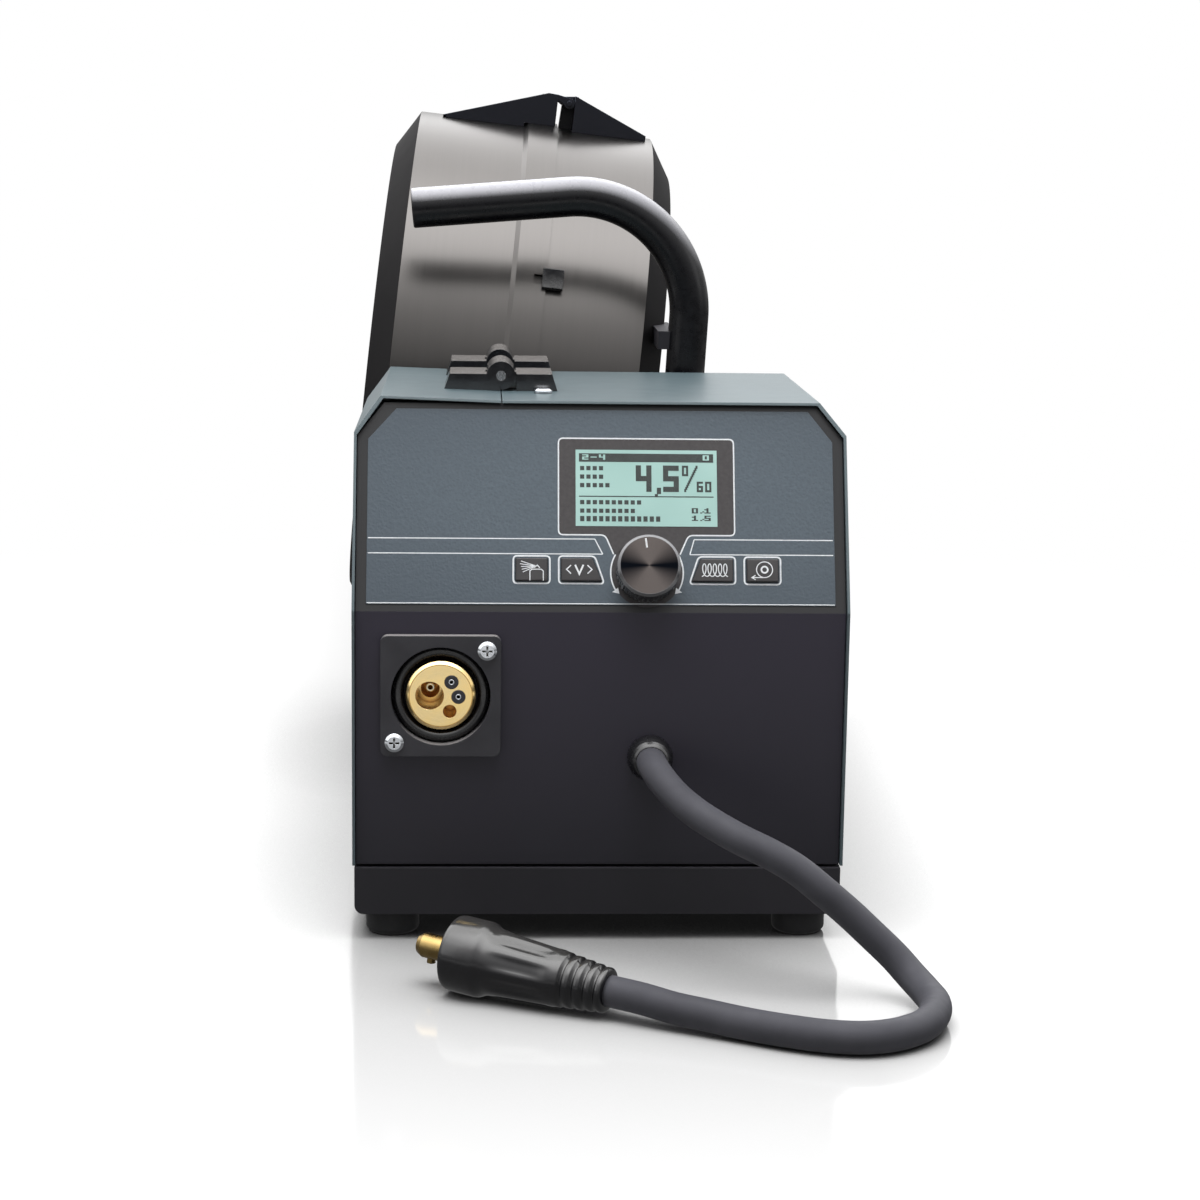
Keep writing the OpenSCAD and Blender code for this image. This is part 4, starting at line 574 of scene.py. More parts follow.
# the sleeve's faces that look up are much paler: a painted highlight of the light from above
grip_satin = moulded("grip_sleeve", (0.002, 0.002, 0.003), (0.0035, 0.0035, 0.0048), 0.28, 2400, 0.002,
                     gloss=0.35, top=(0.36, 0.36, 0.39), turn=(0.3, 0.85))
# faces of the mouldings that look up are paler: a painted highlight along their top edges
moulded("black_moulding", (0.026, 0.0255, 0.03), (0.04, 0.039, 0.045), 0.46, 2200, 0.05, round_mm=0.7,
        top=(0.2, 0.19, 0.19), turn=(0.55, 0.95)).on(
    "socket_flange", "spool_hub", "hub_nut", "wire_spool", "tension_knob", "pilot_contacts", "rear_sockets")
# the hinges' faces that look up are paler: a painted highlight
moulded("hinge_casting", (0.008, 0.008, 0.01), (0.014, 0.014, 0.016), 0.14, 500, 0.006, gloss=1.0,
        top=(0.17, 0.16, 0.155), turn=(0.7, 0.95)).on("fixed_leaves", "moving_leaves")
moulded("gas_hose_rubber", (0.02, 0.03, 0.1), (0.03, 0.045, 0.14), 0.42).on("gas_hose")
# the keys' faces that look up are paler: a painted highlight
moulded("key_film", (0.02, 0.019, 0.02), (0.035, 0.033, 0.034), 0.4, 1500, 0.02, round_mm=1.0,
        top=(0.09, 0.088, 0.09), turn=(0.5, 0.9)).on("key_gas", "key_voltage", "key_program", "key_wire")
moulded("board_green", (0.01, 0.08, 0.035), (0.02, 0.13, 0.06), 0.4).on("display_board")
print("rubbers and plastics:", 10)

# %% [markdown]
# ## The handle's sleeve
# A smooth black sleeve is pushed over the handle's bent tube. It follows the tube: up the post, round the
# bend and along the bar, where its end is closed. The sweep that made the lead makes it too, with rings
# close together in the bend, and radii that shrink at both ends give its rounded rims.

# %% Sleeve along the post, the bend and the bar
BEND, BEND_R, LEAN_IN, DROOP, HANDLE_Y = (-6.0, 323.5), 68.5, 3.0, 4.8, 235
SLEEVE_R, DOWN_POST, ALONG_BAR, BEND_STEPS = 12.0, 37.0, 95.0, 56
RIM = ((0.0, 1.0), (0.15, 0.5), (0.5, 0.15), (1.0, 0.0))


def on_bend(degrees, along=0.0):
    turn = math.radians(degrees)
    return place(BEND[0] + BEND_R * math.cos(turn) - along * math.sin(turn), HANDLE_Y,
                 BEND[1] + BEND_R * math.sin(turn) + along * math.cos(turn))


run = [(on_bend(-LEAN_IN, along - DOWN_POST), SLEEVE_R - cut) for along, cut in RIM]
run += [(on_bend(-LEAN_IN, along), SLEEVE_R) for along in (-30, -20, -10)]
whole_bend = 90 + LEAN_IN + DROOP
run += [(on_bend(whole_bend * k / BEND_STEPS - LEAN_IN), SLEEVE_R) for k in range(BEND_STEPS + 1)]
run += [(on_bend(90 + DROOP, along), SLEEVE_R) for along in (15, 30, 45, 60, 75, 88)]
run += [(on_bend(90 + DROOP, ALONG_BAR - along), SLEEVE_R - cut) for along, cut in reversed(RIM)]
builder = bmesh.new()
sweep(builder, [spot for spot, r in run], [r / 1000 for spot, r in run], 72,
      (run[5][0] - run[0][0]).normalized(), (run[-1][0] - run[-5][0]).normalized())
grip_sleeve = piece_from("grip_sleeve", builder, "chassis", smooth=True)
grip_satin.on(grip_sleeve)
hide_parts("handle_grip")
print("faces in the sleeve:", len(grip_sleeve.data.polygons))

# %% [markdown]
# ## Rings in the torch socket
# Round the brass lies a soft black ring that centres the torch's nut. Each small contact holds a plated
# sleeve, and the wire's guide ends in a plated nozzle. All are turned parts, so one function spins a
# closed outline, given as radius and depth, about an axis that runs straight into the machine.

# %% Turn the rings
def turned_ring(name, profile, x, z, finish, slot, sides=64):
    builder = bmesh.new()
    rings = [[builder.verts.new(place(x + r * math.cos(2 * math.pi * k / sides), y,
                                      z + r * math.sin(2 * math.pi * k / sides))) for r, y in profile]
             for k in range(sides)]
    join_rings(builder, rings + rings[:1])
    finish.on(piece_from(name, builder, "chassis", smooth=True))


SEAT_IN, SEAT_OUT, SEAT_BACK, BULGE, BULGE_STEPS = 20.0, 26.2, 10.0, 3.1, 14
half_turn = [math.pi * k / BULGE_STEPS for k in range(BULGE_STEPS + 1)]
bulge = [(23.1 - BULGE * math.cos(turn), 2.4 - BULGE * math.sin(turn)) for turn in half_turn]
turned_ring("socket_seat", [(SEAT_IN, SEAT_BACK)] + bulge + [(SEAT_OUT, SEAT_BACK)], *SOCKET, gland_black,
            "rubber", 96)
SLEEVE = [(0.95, -3.42), (1.12, -3.52), (1.45, -3.52), (1.56, -3.4), (1.56, 8.5), (0.95, 8.5)]
for name, across, up in (("contact_sleeve_1", 5.7, 7.4), ("contact_sleeve_2", 9.4, -0.6)):
    turned_ring(name, SLEEVE, SOCKET[0] + across, SOCKET[1] + up, bright, "steel", 32)
NOZZLE = [(1.2, 18.3), (1.4, 18.1), (2.3, 18.1), (2.5, 18.4), (2.5, 18.92), (1.66, 18.92), (1.66, 27.5),
          (1.2, 27.5)]
turned_ring("guide_nozzle", NOZZLE, SOCKET[0] - 5.9, SOCKET[1], bright, "steel", 40)
print("turned rings:", 4)

# %% [markdown]
# ## The knob
# The encoder's knob is turned aluminium, anodised dark. Its face was faced off on a lathe, so its fine
# grooves run in circles, and light spreads across them into two bright fans. Cycles makes such fans by
# itself when the shader knows which way the grooves run: round the knob's axis. That direction is the
# axis crossed with the line from the axis to the point, built here with three vector nodes. The colour
# follows the same direction too: the fans are painted into it, pale above and below the axis and dark
# at its sides, a painted highlight and shade which keeps them clear in soft light. It turns paler past
# the face's edge.

# %% Anodised knob with circular grooves
KNOB_FACE_EDGE = (0.01515, 0.0153)
knob = Finish("anodised_knob", (0.16, 0.145, 0.14), 0.26, metal=1.0)
knob.set("Anisotropic", 0.9)
knob.set("Anisotropic Rotation", 0.25)
knob_axis = (on_panel(0, 0, 1) - on_panel(0, 0, 0)).normalized()
arm = knob.vector("SUBTRACT", knob.spot, on_panel(*KNOB, KNOB_TOP))
across = knob.vector("CROSS_PRODUCT", knob_axis, arm)
groove_way = knob.vector("NORMALIZE", across)
knob.set("Tangent", groove_way)
# the fans painted into the colour: pale above and below the axis, dark at the sides, painted highlight and
# shade
fan_highlight_mask = knob.spread(knob.maths("ABSOLUTE", knob.along("X", groove_way)), 0, 1, 0.08, 0.85)
fans = knob.tint(fan_highlight_mask, (0.0035, 0.0045, 0.007), (0.085, 0.074, 0.07))
knob.tint(knob.spread(knob.vector("LENGTH", across), 0, 1, *KNOB_FACE_EDGE), fans, (0.16, 0.16, 0.165))
knob.on("encoder_knob")
print("the knob leans back by degrees:", round(math.degrees(LEAN), 1))

# %% [markdown]
# ## The display's glass
# Behind the window lies a graphic display with a pale green back light. The window is smooth, and what is
# under it glows a little, so the shader gets a small emission beside its colour.

# %% Back-lit window
BACK_LIGHT = (0.36, 0.57, 0.52)
glass = Finish("backlit_window", BACK_LIGHT, 0.2, gloss=0.4)
glass.mottle(35, 1, (0.29, 0.46, 0.425), (0.34, 0.52, 0.48))
glass.set("Emission Color", (*BACK_LIGHT, 1))
glass.set("Emission Strength", 0.12)
glass.set("Coat Weight", 0.3)
glass.on("display_window")
print("window made of", len(part["display_window"].data.polygons), "triangles")

# %% [markdown]
# ## Screen printing
# The panel's white lines are ink, printed through a fine screen. Ink is a few hundredths of a millimetre
# thick, so each line becomes a thin ribbon that follows its path with mitred corners. A helper rounds the
# corners first, because a screen can't print a perfectly sharp one.

# %% Ribbons of ink
def rounded(corners, radius, closed=False):
    line, count = [], len(corners)
    for i, corner in enumerate(corners):
        here = Vector(corner)
        if not closed and i in (0, count - 1):
            line.append(here)
            continue
        back, ahead = Vector(corners[i - 1]) - here, Vector(corners[(i + 1) % count]) - here
        cut = min(radius, back.length * 0.45, ahead.length * 0.45)
        a, b = here + back.normalized() * cut, here + ahead.normalized() * cut
        line += [(1 - t) ** 2 * a + 2 * t * (1 - t) * here + t ** 2 * b for t in (0, 0.2, 0.4, 0.6, 0.8, 1)]
    return line


def arc(centre, radius, start, end, steps=20):
    turns = [math.radians(start + (end - start) * k / steps) for k in range(steps + 1)]
    return [(centre[0] + radius * math.cos(turn), centre[1] + radius * math.sin(turn)) for turn in turns]


def prism(builder, left, right, low, high, closed):
    rings = [[builder.verts.new(on_panel(*p, h)) for p, h in ((a, high), (b, high), (b, low), (a, low))]
             for a, b in zip(left, right)]
    join_rings(builder, rings + rings[:1] if closed else rings)
    if not closed:
        builder.faces.new(rings[0])
        builder.faces.new(rings[-1])


def ribbon(builder, line, width, low, high, closed=False):
    points = [Vector(p) for p in line]
    left, right, count = [], [], len(points)
    for i, here in enumerate(points):
        before = points[i - 1] if (i or closed) else None
        after = points[(i + 1) % count] if (i < count - 1 or closed) else None
        ways = [(b - a).normalized() for a, b in ((before, here), (here, after))
                if a is not None and b is not None and (b - a).length > 1e-9]
        way = sum(ways, Vector((0, 0))).normalized()
        square = Vector((-way.y, way.x))
        stretch = 1 / max(0.4, square.dot(Vector((-ways[0].y, ways[0].x))))
        left.append(here + square * width / 2 * stretch)
        right.append(here - square * width / 2 * stretch)
    prism(builder, left, right, low, high, closed)


def slab(builder, outline, low, high):
    lower, upper = [[builder.verts.new(on_panel(*p, h)) for p in outline] for h in (low, high)]
    builder.faces.new(upper)
    builder.faces.new(list(reversed(lower)))
    join_rings(builder, [lower, upper])


def ink(builder, name, body, finish):
    thing = piece_from(name, builder, body)
    finish.on(thing)
    return thing


white_ink = Finish("white_ink", (0.72, 0.74, 0.76), 0.5, gloss=0.4)
white_ink.mottle(900, 2, (0.66, 0.68, 0.7), (0.76, 0.78, 0.8))
dark_ink = Finish("dark_ink", (0.04, 0.036, 0.037), 0.42, gloss=0.4)
dark_ink.mottle(500, 3, (0.028, 0.0255, 0.0265), (0.039, 0.0355, 0.0365))
dark_ink.relief(dark_ink.grain(900, 3), 0.04)
print("inks ready")

# %% [markdown]
# ## The panel's artwork
# One dark field carries the display and runs down in a funnel to the knob. A white line goes round it and
# on into two arcs with arrowheads, which tell the hand that the knob turns both ways. Two white lines
# cross the panel at each side, one closes its foot, and each key has its frame. The places of names and
# captions stay bare.

# %% Print the panel
INK, LINE_TOP, FIELD_TOP = 0.6, 0.65, 0.62
KEYS = {"gas_key": ((-46.7, -28.0), 0, 0), "voltage_key": ((-22.5, 1.0), 0, 5),
        "program_key": ((47.2, 71.1), 5, 0), "wire_key": ((76.7, 95.4), 0, 0)}
KEY_FOOT, KEY_HEAD = 15.95, 30.05
FIELD_LEFT, FIELD_RIGHT, FIELD_FOOT, FIELD_HEAD = -23.0, 71.4, 42.1, 95.2
NECK, THROAT, THROAT_FOOT = (1.9, 46.6), (6.4, 42.0), 31.6
LINE_HEADS, LINE_END, FOOT_LINE = (39.8, 31.6), (-124.4, 124.2), (124.6, 4.6)
CORNER = 2.6


def key_frame(span, left, right, grow):
    return [(span[0] - grow, KEY_FOOT - grow), (span[1] + grow, KEY_FOOT - grow),
            (span[1] + grow - right, KEY_HEAD + grow), (span[0] - grow + left, KEY_HEAD + grow)]


def white_line(points, width, closed=False):
    ribbon(builder, points, width, INK, LINE_TOP, closed)


field = [(NECK[0], FIELD_FOOT), (FIELD_LEFT, FIELD_FOOT), (FIELD_LEFT, FIELD_HEAD), (FIELD_RIGHT, FIELD_HEAD),
         (FIELD_RIGHT, FIELD_FOOT), (NECK[1], FIELD_FOOT)]
throat = [(THROAT[0], THROAT_FOOT), (THROAT[1], THROAT_FOOT)]
builder = bmesh.new()
slab(builder, rounded(field, CORNER, closed=True), INK, FIELD_TOP)
slab(builder, [field[0], *throat, field[-1]], INK, FIELD_TOP)
slab(builder, arc(KNOB, 19.0, 0, 354, 59), INK, FIELD_TOP)
ink(builder, "display_field", "chassis", dark_ink)

builder = bmesh.new()
white_line(rounded([throat[0], *field, throat[1]], CORNER), 0.75)
for side, start, end in ((-1, 150, 209), (1, 30, -29)):
    white_line(arc(KNOB, 19.4, start, end), 0.75)
    tip = Vector(arc(KNOB, 19.4, end + side * -9, end)[0])
    foot = Vector(arc(KNOB, 19.4, end, end)[0])
    out = (tip - Vector(KNOB)).normalized()
    slab(builder, [tip - out * 0.6, foot + out * 2.1, foot - out * 1.9], INK, LINE_TOP)
for height, left, right in ((LINE_HEADS[0], -3.6, 49.6), (LINE_HEADS[1], 0.6, 47.2)):
    white_line([(LINE_END[0], height), (left, height)], 0.55)
    white_line([(right, height), (LINE_END[1], height)], 0.55)
white_line([(-3.6, LINE_HEADS[0]), (0.6, LINE_HEADS[1])], 0.6)
white_line([(49.6, LINE_HEADS[0]), (47.2, LINE_HEADS[1])], 0.6)
white_line([(-FOOT_LINE[0], FOOT_LINE[1]), FOOT_LINE], 0.5)
for span, left, right in KEYS.values():
    white_line(rounded(key_frame(span, left, right, 0.4), 2.2, closed=True), 0.85, closed=True)
panel_print = ink(builder, "panel_print", "chassis", white_ink)
print("faces of white ink:", len(panel_print.data.polygons))

# %% [markdown]
# ## Pictures on the keys
# Each key shows what it does with a small drawing: gas from a nozzle, a voltage between two arrowheads, a
# coil for a stored program, and a spool with an arrow for feeding new wire. They are drawn from the
# middle of the key and printed on its cap, so they move with it. Each stroke is a width and a line.

# %% Draw the four signs
SIGN_FOOT, SIGN_TOP = 1.73, 1.78
COIL_TURNS, COIL_STEPS, CIRCLE_POINTS = 5, 150, 28


def circle(x, y, r):
    return arc((x, y), r, 0, 360 - 360 / CIRCLE_POINTS, CIRCLE_POINTS - 1)


def coil_point(t):
    turn = math.pi + 2 * math.pi * COIL_TURNS * t
    return (-7.0 + 14.0 * t - 1.55 * math.sin(turn), 3.4 * math.cos(turn))


SIGNS = {
    "gas_key": [(0.5, [(-0.9, -6.2), (-0.9, -1.0), (0.2, 0.0), (5.1, 0.0), (6.2, -1.0), (6.2, -6.2)]),
                (0.5, [(1.2, 0.7), (3.0, 2.2), (4.4, 0.7)])]
    + [(0.4, [(2.4, 1.7), (-6.2 + 0.5 * abs(k - 1), 4.4 - 1.5 * k)]) for k in range(5)],
    "voltage_key": [(0.6, [(side * 4.4, 2.3), (side * 6.8, 0), (side * 4.4, -2.3)]) for side in (-1, 1)]
    + [(0.95, [(-2.2, 2.5), (0, -2.4), (2.2, 2.5)])],
    "program_key": [(0.5, [coil_point(k / COIL_STEPS) for k in range(COIL_STEPS + 1)])],
    "wire_key": [(0.5, circle(1.0, 0.4, 4.3)), (0.9, circle(1.0, 0.4, 1.7)),
                 (0.5, [(1.0, -3.9), (-5.6, -3.9)]), (0.5, [(-3.9, -2.7), (-5.9, -3.9), (-3.9, -5.1)])]}
for body, ((left, right), slope_l, slope_r) in KEYS.items():
    x, y = (left + slope_l / 2 + right - slope_r / 2) / 2, (KEY_FOOT + KEY_HEAD) / 2
    builder = bmesh.new()
    for width, stroke in SIGNS[body]:
        ribbon(builder, [(a + x, b + y) for a, b in stroke], width, SIGN_FOOT, SIGN_TOP,
               closed=len(stroke) == CIRCLE_POINTS)
    ink(builder, body + "_sign", body, white_ink)
print("signs drawn:", len(SIGNS))

# %% [markdown]
# ## The knob's mark
# A short white line near the knob's edge shows how far it has been turned. It is ink in a shallow
# groove, and it rides on the knob.

# %% Mark on the knob
MARK_TURN, MARK_FROM, MARK_TO, MARK_FOOT, MARK_TOP = 97, 9.6, 14.6, 19.9, 20.04
builder = bmesh.new()
mark = [arc(KNOB, r, MARK_TURN, MARK_TURN, 1)[0] for r in (MARK_FROM, MARK_TO)]
ribbon(builder, mark, 0.9, MARK_FOOT, MARK_TOP)
ink(builder, "knob_mark", "knob", white_ink)
print("mark drawn")

# %% [markdown]
# ## Dots of the display
# The display draws with square dots, 128 across and 64 down. Only the dark ones are needed. Their places
# become loose points, and a Geometry Nodes tree puts one thin tile on each, which keeps the list short
# and lets one number change every tile. The digits are built from bars, as on any such display.

# %% Which dots are dark
LCD_LEFT, LCD_TOP, PITCH_ACROSS, PITCH_DOWN, DOT_HEIGHT = 24.2 - 36.2, 67.9 + 19.0, 0.565, 0.585, 0.82
DIGITS = {"0": "111 101 101 101 111", "1": "010 110 010 010 111", "2": "111 001 111 100 111",
          "4": "101 101 111 001 001", "5": "111 100 111 001 111", "6": "111 100 111 101 111",
          ",": "000 000 000 010 100", "-": "000 000 111 000 000"}
dots = set()


def bar(x0, y0, x1, y1, on=True):
    cells = {(x, y) for x in range(x0, x1) for y in range(y0, y1)}
    if on:
        dots.update(cells)
    else:
        dots.difference_update(cells)


def digits(text, x, y, wide, high, on=True):
    for character in text:
        for row, cells in enumerate(DIGITS[character].split()):
            for column, lit in enumerate(cells):
                if lit == "1":
                    left, top = x + column * wide, y + row * high
                    bar(left, top, left + wide, top + high, on)
        x += (2 if character == "," else 4) * wide


def row_of_bars(y, end, high=4):
    for x in range(1, end, 6):
        bar(x, y, x + 4, y + high)


bar(0, 0, 128, 8)
digits("2-4", 3, 1, 2, 1, on=False)
digits("0", 118, 1, 2, 1, on=False)
for y, end in ((12, 24), (20, 22), (28, 30), (44, 60), (52, 54)):
    row_of_bars(y, end)
row_of_bars(59, 78, 5)
digits("4", 54, 11, 5, 5)
bar(74, 32, 78, 38)
bar(72, 38, 75, 41)
digits("5", 80, 11, 5, 5)
for k in range(12):
    bar(100 + k, 33 - 2 * k, 102 + k, 36 - 2 * k)
digits("0", 98, 11, 2, 2)
digits("60", 112, 26, 2, 2)
bar(0, 40, 128, 41)
digits("0,1", 107, 51, 2, 1)
digits("1,5", 107, 58, 2, 1)
print("dark dots:", len(dots))

# %% [markdown]
# The tree sets one unit on every point and turns it about one axis. Its sizes are named inputs: for the
# display, a tile's width and thickness and the slope of the panel. It ends by making the copies real and
# giving them their finish, so that they can be exported as a plain mesh. What the unit is comes from a
# function of its own, so the spool's wire can use the same tree later.

# %% Tiles on the dots
def copies_on(places, name, sizes, turn, unit, finish, body, smooth=False):
    tree = bpy.data.node_groups.new(name, "GeometryNodeTree")
    tree.interface.new_socket("Geometry", in_out="INPUT", socket_type="NodeSocketGeometry")
    keys = [tree.interface.new_socket(label, in_out="INPUT", socket_type="NodeSocketFloat").identifier
            for label in sizes]
    tree.interface.new_socket("Geometry", in_out="OUTPUT", socket_type="NodeSocketGeometry")
    web = Wiring(tree)
    entry = web.add("NodeGroupInput").outputs
    label, axis = turn
    spots = web.add("GeometryNodeMeshToPoints", {"Mesh": entry["Geometry"]}).outputs["Points"]
    angle = web.add("ShaderNodeCombineXYZ", {axis: entry[label]}).outputs[0]
    sockets = {"Points": spots, "Instance": unit(web, entry), "Rotation": angle}
    copies = web.add("GeometryNodeInstanceOnPoints", sockets).outputs[0]
    real = web.add("GeometryNodeRealizeInstances", {0: copies}).outputs[0]
    painted = web.add("GeometryNodeSetMaterial", {"Geometry": real, "Material": finish.material}).outputs[0]
    web.add("NodeGroupOutput", {0: painted})

    points = bpy.data.meshes.new(name + "_places")
    points.from_pydata([tuple(spot) for spot in places], [], [])
    thing = into_scene(name + "_places", points)
    bpy.context.view_layer.update()
    modifier = thing.modifiers.new("pattern", "NODES")
    modifier.node_group = tree
    for key, value in zip(keys, sizes.values()):
        modifier[key] = value
    graph = bpy.context.evaluated_depsgraph_get()
    mesh = bpy.data.meshes.new_from_object(thing.evaluated_get(graph), depsgraph=graph)
    mesh.name = name
    thing.modifiers.remove(modifier)
    bpy.data.objects.remove(thing)
    return carry(into_scene(name, mesh), body, smooth)


def tile(web, entry):
    wide, thick = entry["Tile width"], entry["Tile thickness"]
    size = web.add("ShaderNodeCombineXYZ", {"X": wide, "Y": thick, "Z": wide}).outputs[0]
    return web.add("GeometryNodeMeshCube", {"Size": size}).outputs["Mesh"]


lcd_ink = Finish("display_ink", (0.012, 0.016, 0.015), 0.4)
lcd_ink.mottle(300, 1, (0.01, 0.014, 0.013), (0.02, 0.026, 0.024))
spots = [on_panel(LCD_LEFT + (x + 0.5) * PITCH_ACROSS, LCD_TOP - (y + 0.5) * PITCH_DOWN, DOT_HEIGHT)
         for x, y in sorted(dots)]
TILE = {"Tile width": 0.00057, "Tile thickness": 0.00006, "Slope": -LEAN}
display_dots = copies_on(spots, "display_dots", TILE, ("Slope", "X"), tile, lcd_ink, "chassis")
print("tiles:", len(display_dots.data.polygons) // 6)

# %% [markdown]
# ## Turns of wire on the spool
# The spool inside the case holds some fifteen kilos of copper-coated wire, laid turn beside turn. A
# welder sees it when the case is opened. Each turn is a ring, and rings set along a line make the whole
# outer layer, so the display's tree does it with another unit: a circle with a round profile.

# %% Wind the outer layer
TURNS, LAYER_WIDTH, LAYER_MIDDLE, HOOP_POINTS, WIRE_POINTS = 66, 94.0, -8, 96, 8
TURN = {"Layer radius": 0.1243, "Wire thickness": 0.0014, "Tilt": math.pi / 2 + CASE_TILT}
copper = Finish("copper_coated_wire", (0.62, 0.31, 0.17), 0.3, metal=1.0)
copper.mottle(160, 3, (0.5, 0.24, 0.13), (0.7, 0.37, 0.21))
copper.gloss(copper.grain(700, 2), 0.22, 0.38)
copper.on("wire_winding")


def one_turn(web, entry):
    def circle_of(points, radius):
        sockets = {"Resolution": points, "Radius": radius}
        return web.add("GeometryNodeCurvePrimitiveCircle", sockets).outputs[0]

    hoop = circle_of(HOOP_POINTS, entry["Layer radius"])
    profile = circle_of(WIRE_POINTS, web.times(entry["Wire thickness"], 0.5))
    return web.add("GeometryNodeCurveToMesh", {"Curve": hoop, "Profile Curve": profile}).outputs["Mesh"]


def on_spool_axis(along):
    return case_centre + Vector((along * math.cos(CASE_TILT), 0, -along * math.sin(CASE_TILT))) / 1000


low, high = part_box("wire_winding")
print("winding box:", [round(v, 3) for v in (*low, *high)])
row = [on_spool_axis(LAYER_MIDDLE + (k - (TURNS - 1) / 2) * LAYER_WIDTH / TURNS) for k in range(TURNS)]
wire_turns = copies_on(row, "wire_turns", TURN, ("Tilt", "Y"), one_turn, copper, "spool",
                       smooth=True)
print("faces in the wire's outer layer:", len(wire_turns.data.polygons))

# %% [markdown]
# ## Floor, backdrop and light
# A product like this is set on a white sweep. The floor is pale and slightly glossy: it keeps the soft
# shadow of the machine, and an Ambient Occlusion mask paints more shadow into its colour and its glow,
# darkest where something touches it. It mirrors the machine faintly, less and less towards the front.
# Beside the machine it glows more, so that it stays white there. Farther off it glows plain white like
# the world behind it, so that no edge shows between them.

# %% Floor
FLOOR_LIT, FLOOR_BOUNCE, FLOOR_GLOW, FLOOR_GLOW_BESIDE = 0.34, 0.2, 0.47, 0.84
FLOOR_CORNERS, FLOOR_HEIGHT = ((-14, -9), (14, -9), (14, 14), (-14, 14)), -0.0004
MIRRORED, MIRROR_ROUGH = 0.34, 0.09


def spread_floor():
    mesh = bpy.data.meshes.new("floor")
    mesh.from_pydata([(*corner, FLOOR_HEIGHT) for corner in FLOOR_CORNERS], [], [(0, 1, 2, 3)])
    floor = into_scene("floor", mesh)
    return floor


def glowing(strength):
    return base.add("ShaderNodeEmission", {"Strength": strength}).outputs[0]


base = Finish("white_floor", (0.8, 0.8, 0.8), 0.6, gloss=0.0)
rays = base.add("ShaderNodeLightPath").outputs
# the Ambient Occlusion mask below paints the contact shadow into the floor's colour and glow
air = base.open_air(0.13)
contact_shade = base.spread(air, 0, 1, 0.12, 0.4)
base.tint(contact_shade, (0.03,) * 3, base.tint(rays["Is Camera Ray"], (FLOOR_BOUNCE,) * 3, (FLOOR_LIT,) * 3))
beside = base.maths("ABSOLUTE", base.along("X", base.spot))
glow = base.times(base.maths("POWER", air, 2.0), contact_shade,
                  base.spread(beside, FLOOR_GLOW, FLOOR_GLOW_BESIDE, 0.13, 0.22), rays["Is Camera Ray"])
lit = base.add("ShaderNodeAddShader", {0: base.skin.outputs["BSDF"], 1: glowing(glow)}).outputs[0]
mirror = base.add("ShaderNodeBsdfGlossy", {"Roughness": MIRROR_ROUGH, "Color": (1, 1, 1, 1)}).outputs[0]
near = base.mixed(base.spread(base.along("Y", base.spot), 0.0, MIRRORED, -0.625, -0.31), lit, mirror)
away = base.vector("LENGTH", base.spot)
table, beyond = base.spread(away, 0.2, 1.0, 0.5, 0.92), base.spread(away, 1.0, 0.08, 1.2, 1.6)
backdrop = glowing(base.maths("MAXIMUM", base.times(table, beyond), rays["Is Camera Ray"]))
far = base.maths("MAXIMUM", base.spread(away, 0.0, 1.0, 0.62, 1.1), rays["Is Glossy Ray"])
base.feed(base.tree.nodes["Material Output"].inputs["Surface"], base.mixed(far, near, backdrop))
base.on(spread_floor())
print("floor spread")

# %% [markdown]
# The world is white for the rays that may see it, and a plain grey for the rest, which only fill the
# shadows. What lies behind and above the machine is brighter in its reflections than the room in front,
# as in a real studio, where the camera stands in the dark. A broad lamp above and in front gives
# the main light, a weaker one from each side draws the edges, and one from behind lifts the rims.

# %% World and lamps
world = bpy.data.worlds.new("studio")
bpy.context.scene.world = world
world.use_nodes = True
sky = Wiring(world.node_tree)
rays = sky.add("ShaderNodeLightPath").outputs
where = sky.add("ShaderNodeTexCoord").outputs["Generated"]
height, depth = sky.along("Z", where), sky.along("Y", where)
FILL = 0.1


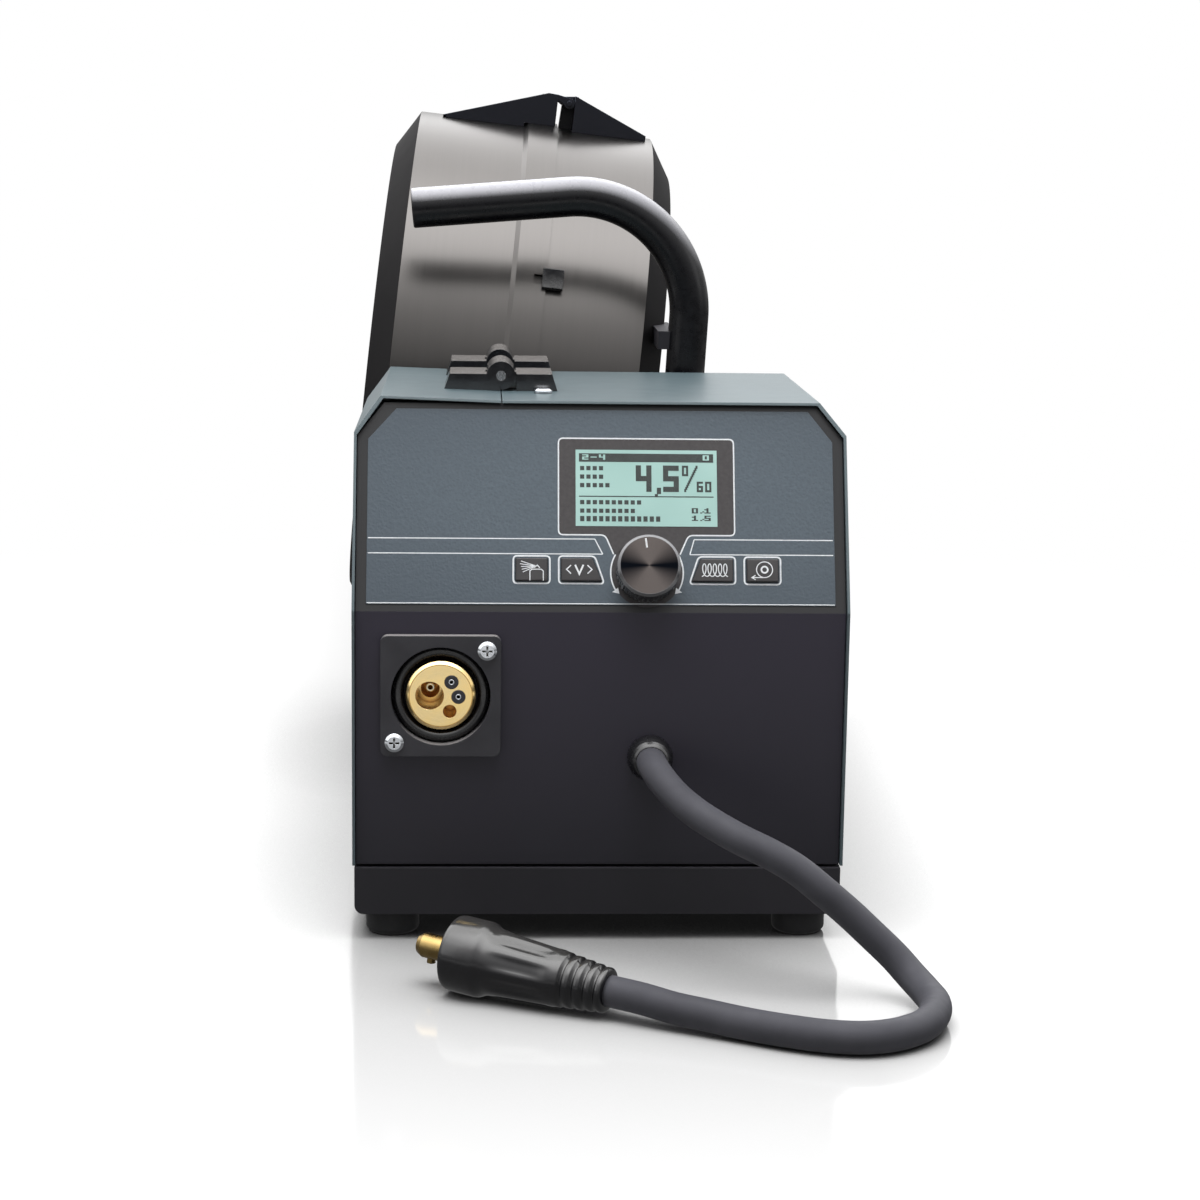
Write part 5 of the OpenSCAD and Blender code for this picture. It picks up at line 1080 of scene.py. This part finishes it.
def soft_step(value, high, start, end):
    return sky.spread(value, 0.0, high, start, end, "SMOOTHSTEP")


room = sky.maths("MAXIMUM", sky.maths("MULTIPLY_ADD", height, 1.9, 0.25), FILL)
in_front = sky.maths("ADD", room, soft_step(height, 3.3, 0.55, 0.95))
behind = sky.maths("ADD", soft_step(height, 3.0, 0.17, 0.6), 0.6)
side = soft_step(depth, 1.0, -0.15, 0.3)
mirrored = sky.maths("ADD", sky.times(in_front, sky.maths("SUBTRACT", 1.0, side)), sky.times(behind, side))
shown = sky.maths("MAXIMUM", rays["Is Camera Ray"], rays["Is Transmission Ray"])
glossy = sky.times(rays["Is Glossy Ray"], mirrored)
rest = sky.maths("SUBTRACT", 1.0, sky.maths("MAXIMUM", shown, rays["Is Glossy Ray"]))
background = sky.tree.nodes["Background"].inputs
sky.feed(background["Strength"], sky.maths("ADD", sky.maths("ADD", shown, glossy), sky.times(rest, FILL)))
sky.feed(background["Color"], (1, 1, 1, 1))


def hang_lamp(name, spot, target, size, power, mirrored=True):
    lamp = bpy.data.lights.new(name, "AREA")
    lamp.shape, lamp.size, lamp.size_y, lamp.energy = "RECTANGLE", *size, power
    thing = into_scene(name, lamp)
    thing.visible_glossy = mirrored
    aim = (Vector(spot) - Vector(target)).to_track_quat("Z", "Y").to_matrix().to_4x4()
    thing.matrix_world = Matrix.Translation(spot) @ aim


hang_lamp("overhead_softbox", (-0.2, -0.5, 2.3), (0, 0, 0.2), (2.0, 1.6), 95, mirrored=False)
hang_lamp("left_softbox", (-2.2, -1.1, 1.2), (0, 0, 0.2), (1.2, 1.8), 7)
hang_lamp("right_softbox", (2.2, -0.7, 1.2), (0, 0, 0.2), (1.0, 1.8), 5)
hang_lamp("back_softbox", (0.1, 2.4, 1.7), (0, 0, 0.25), (2.4, 1.2), 14, mirrored=False)

# %% [markdown]
# ## The view transform
# The picture is shown through Blender's plain Standard view transform. The finished look has to stay
# inside the machine's own size.

# %% Set the view transform
bpy.context.scene.view_settings.view_transform = "Standard"
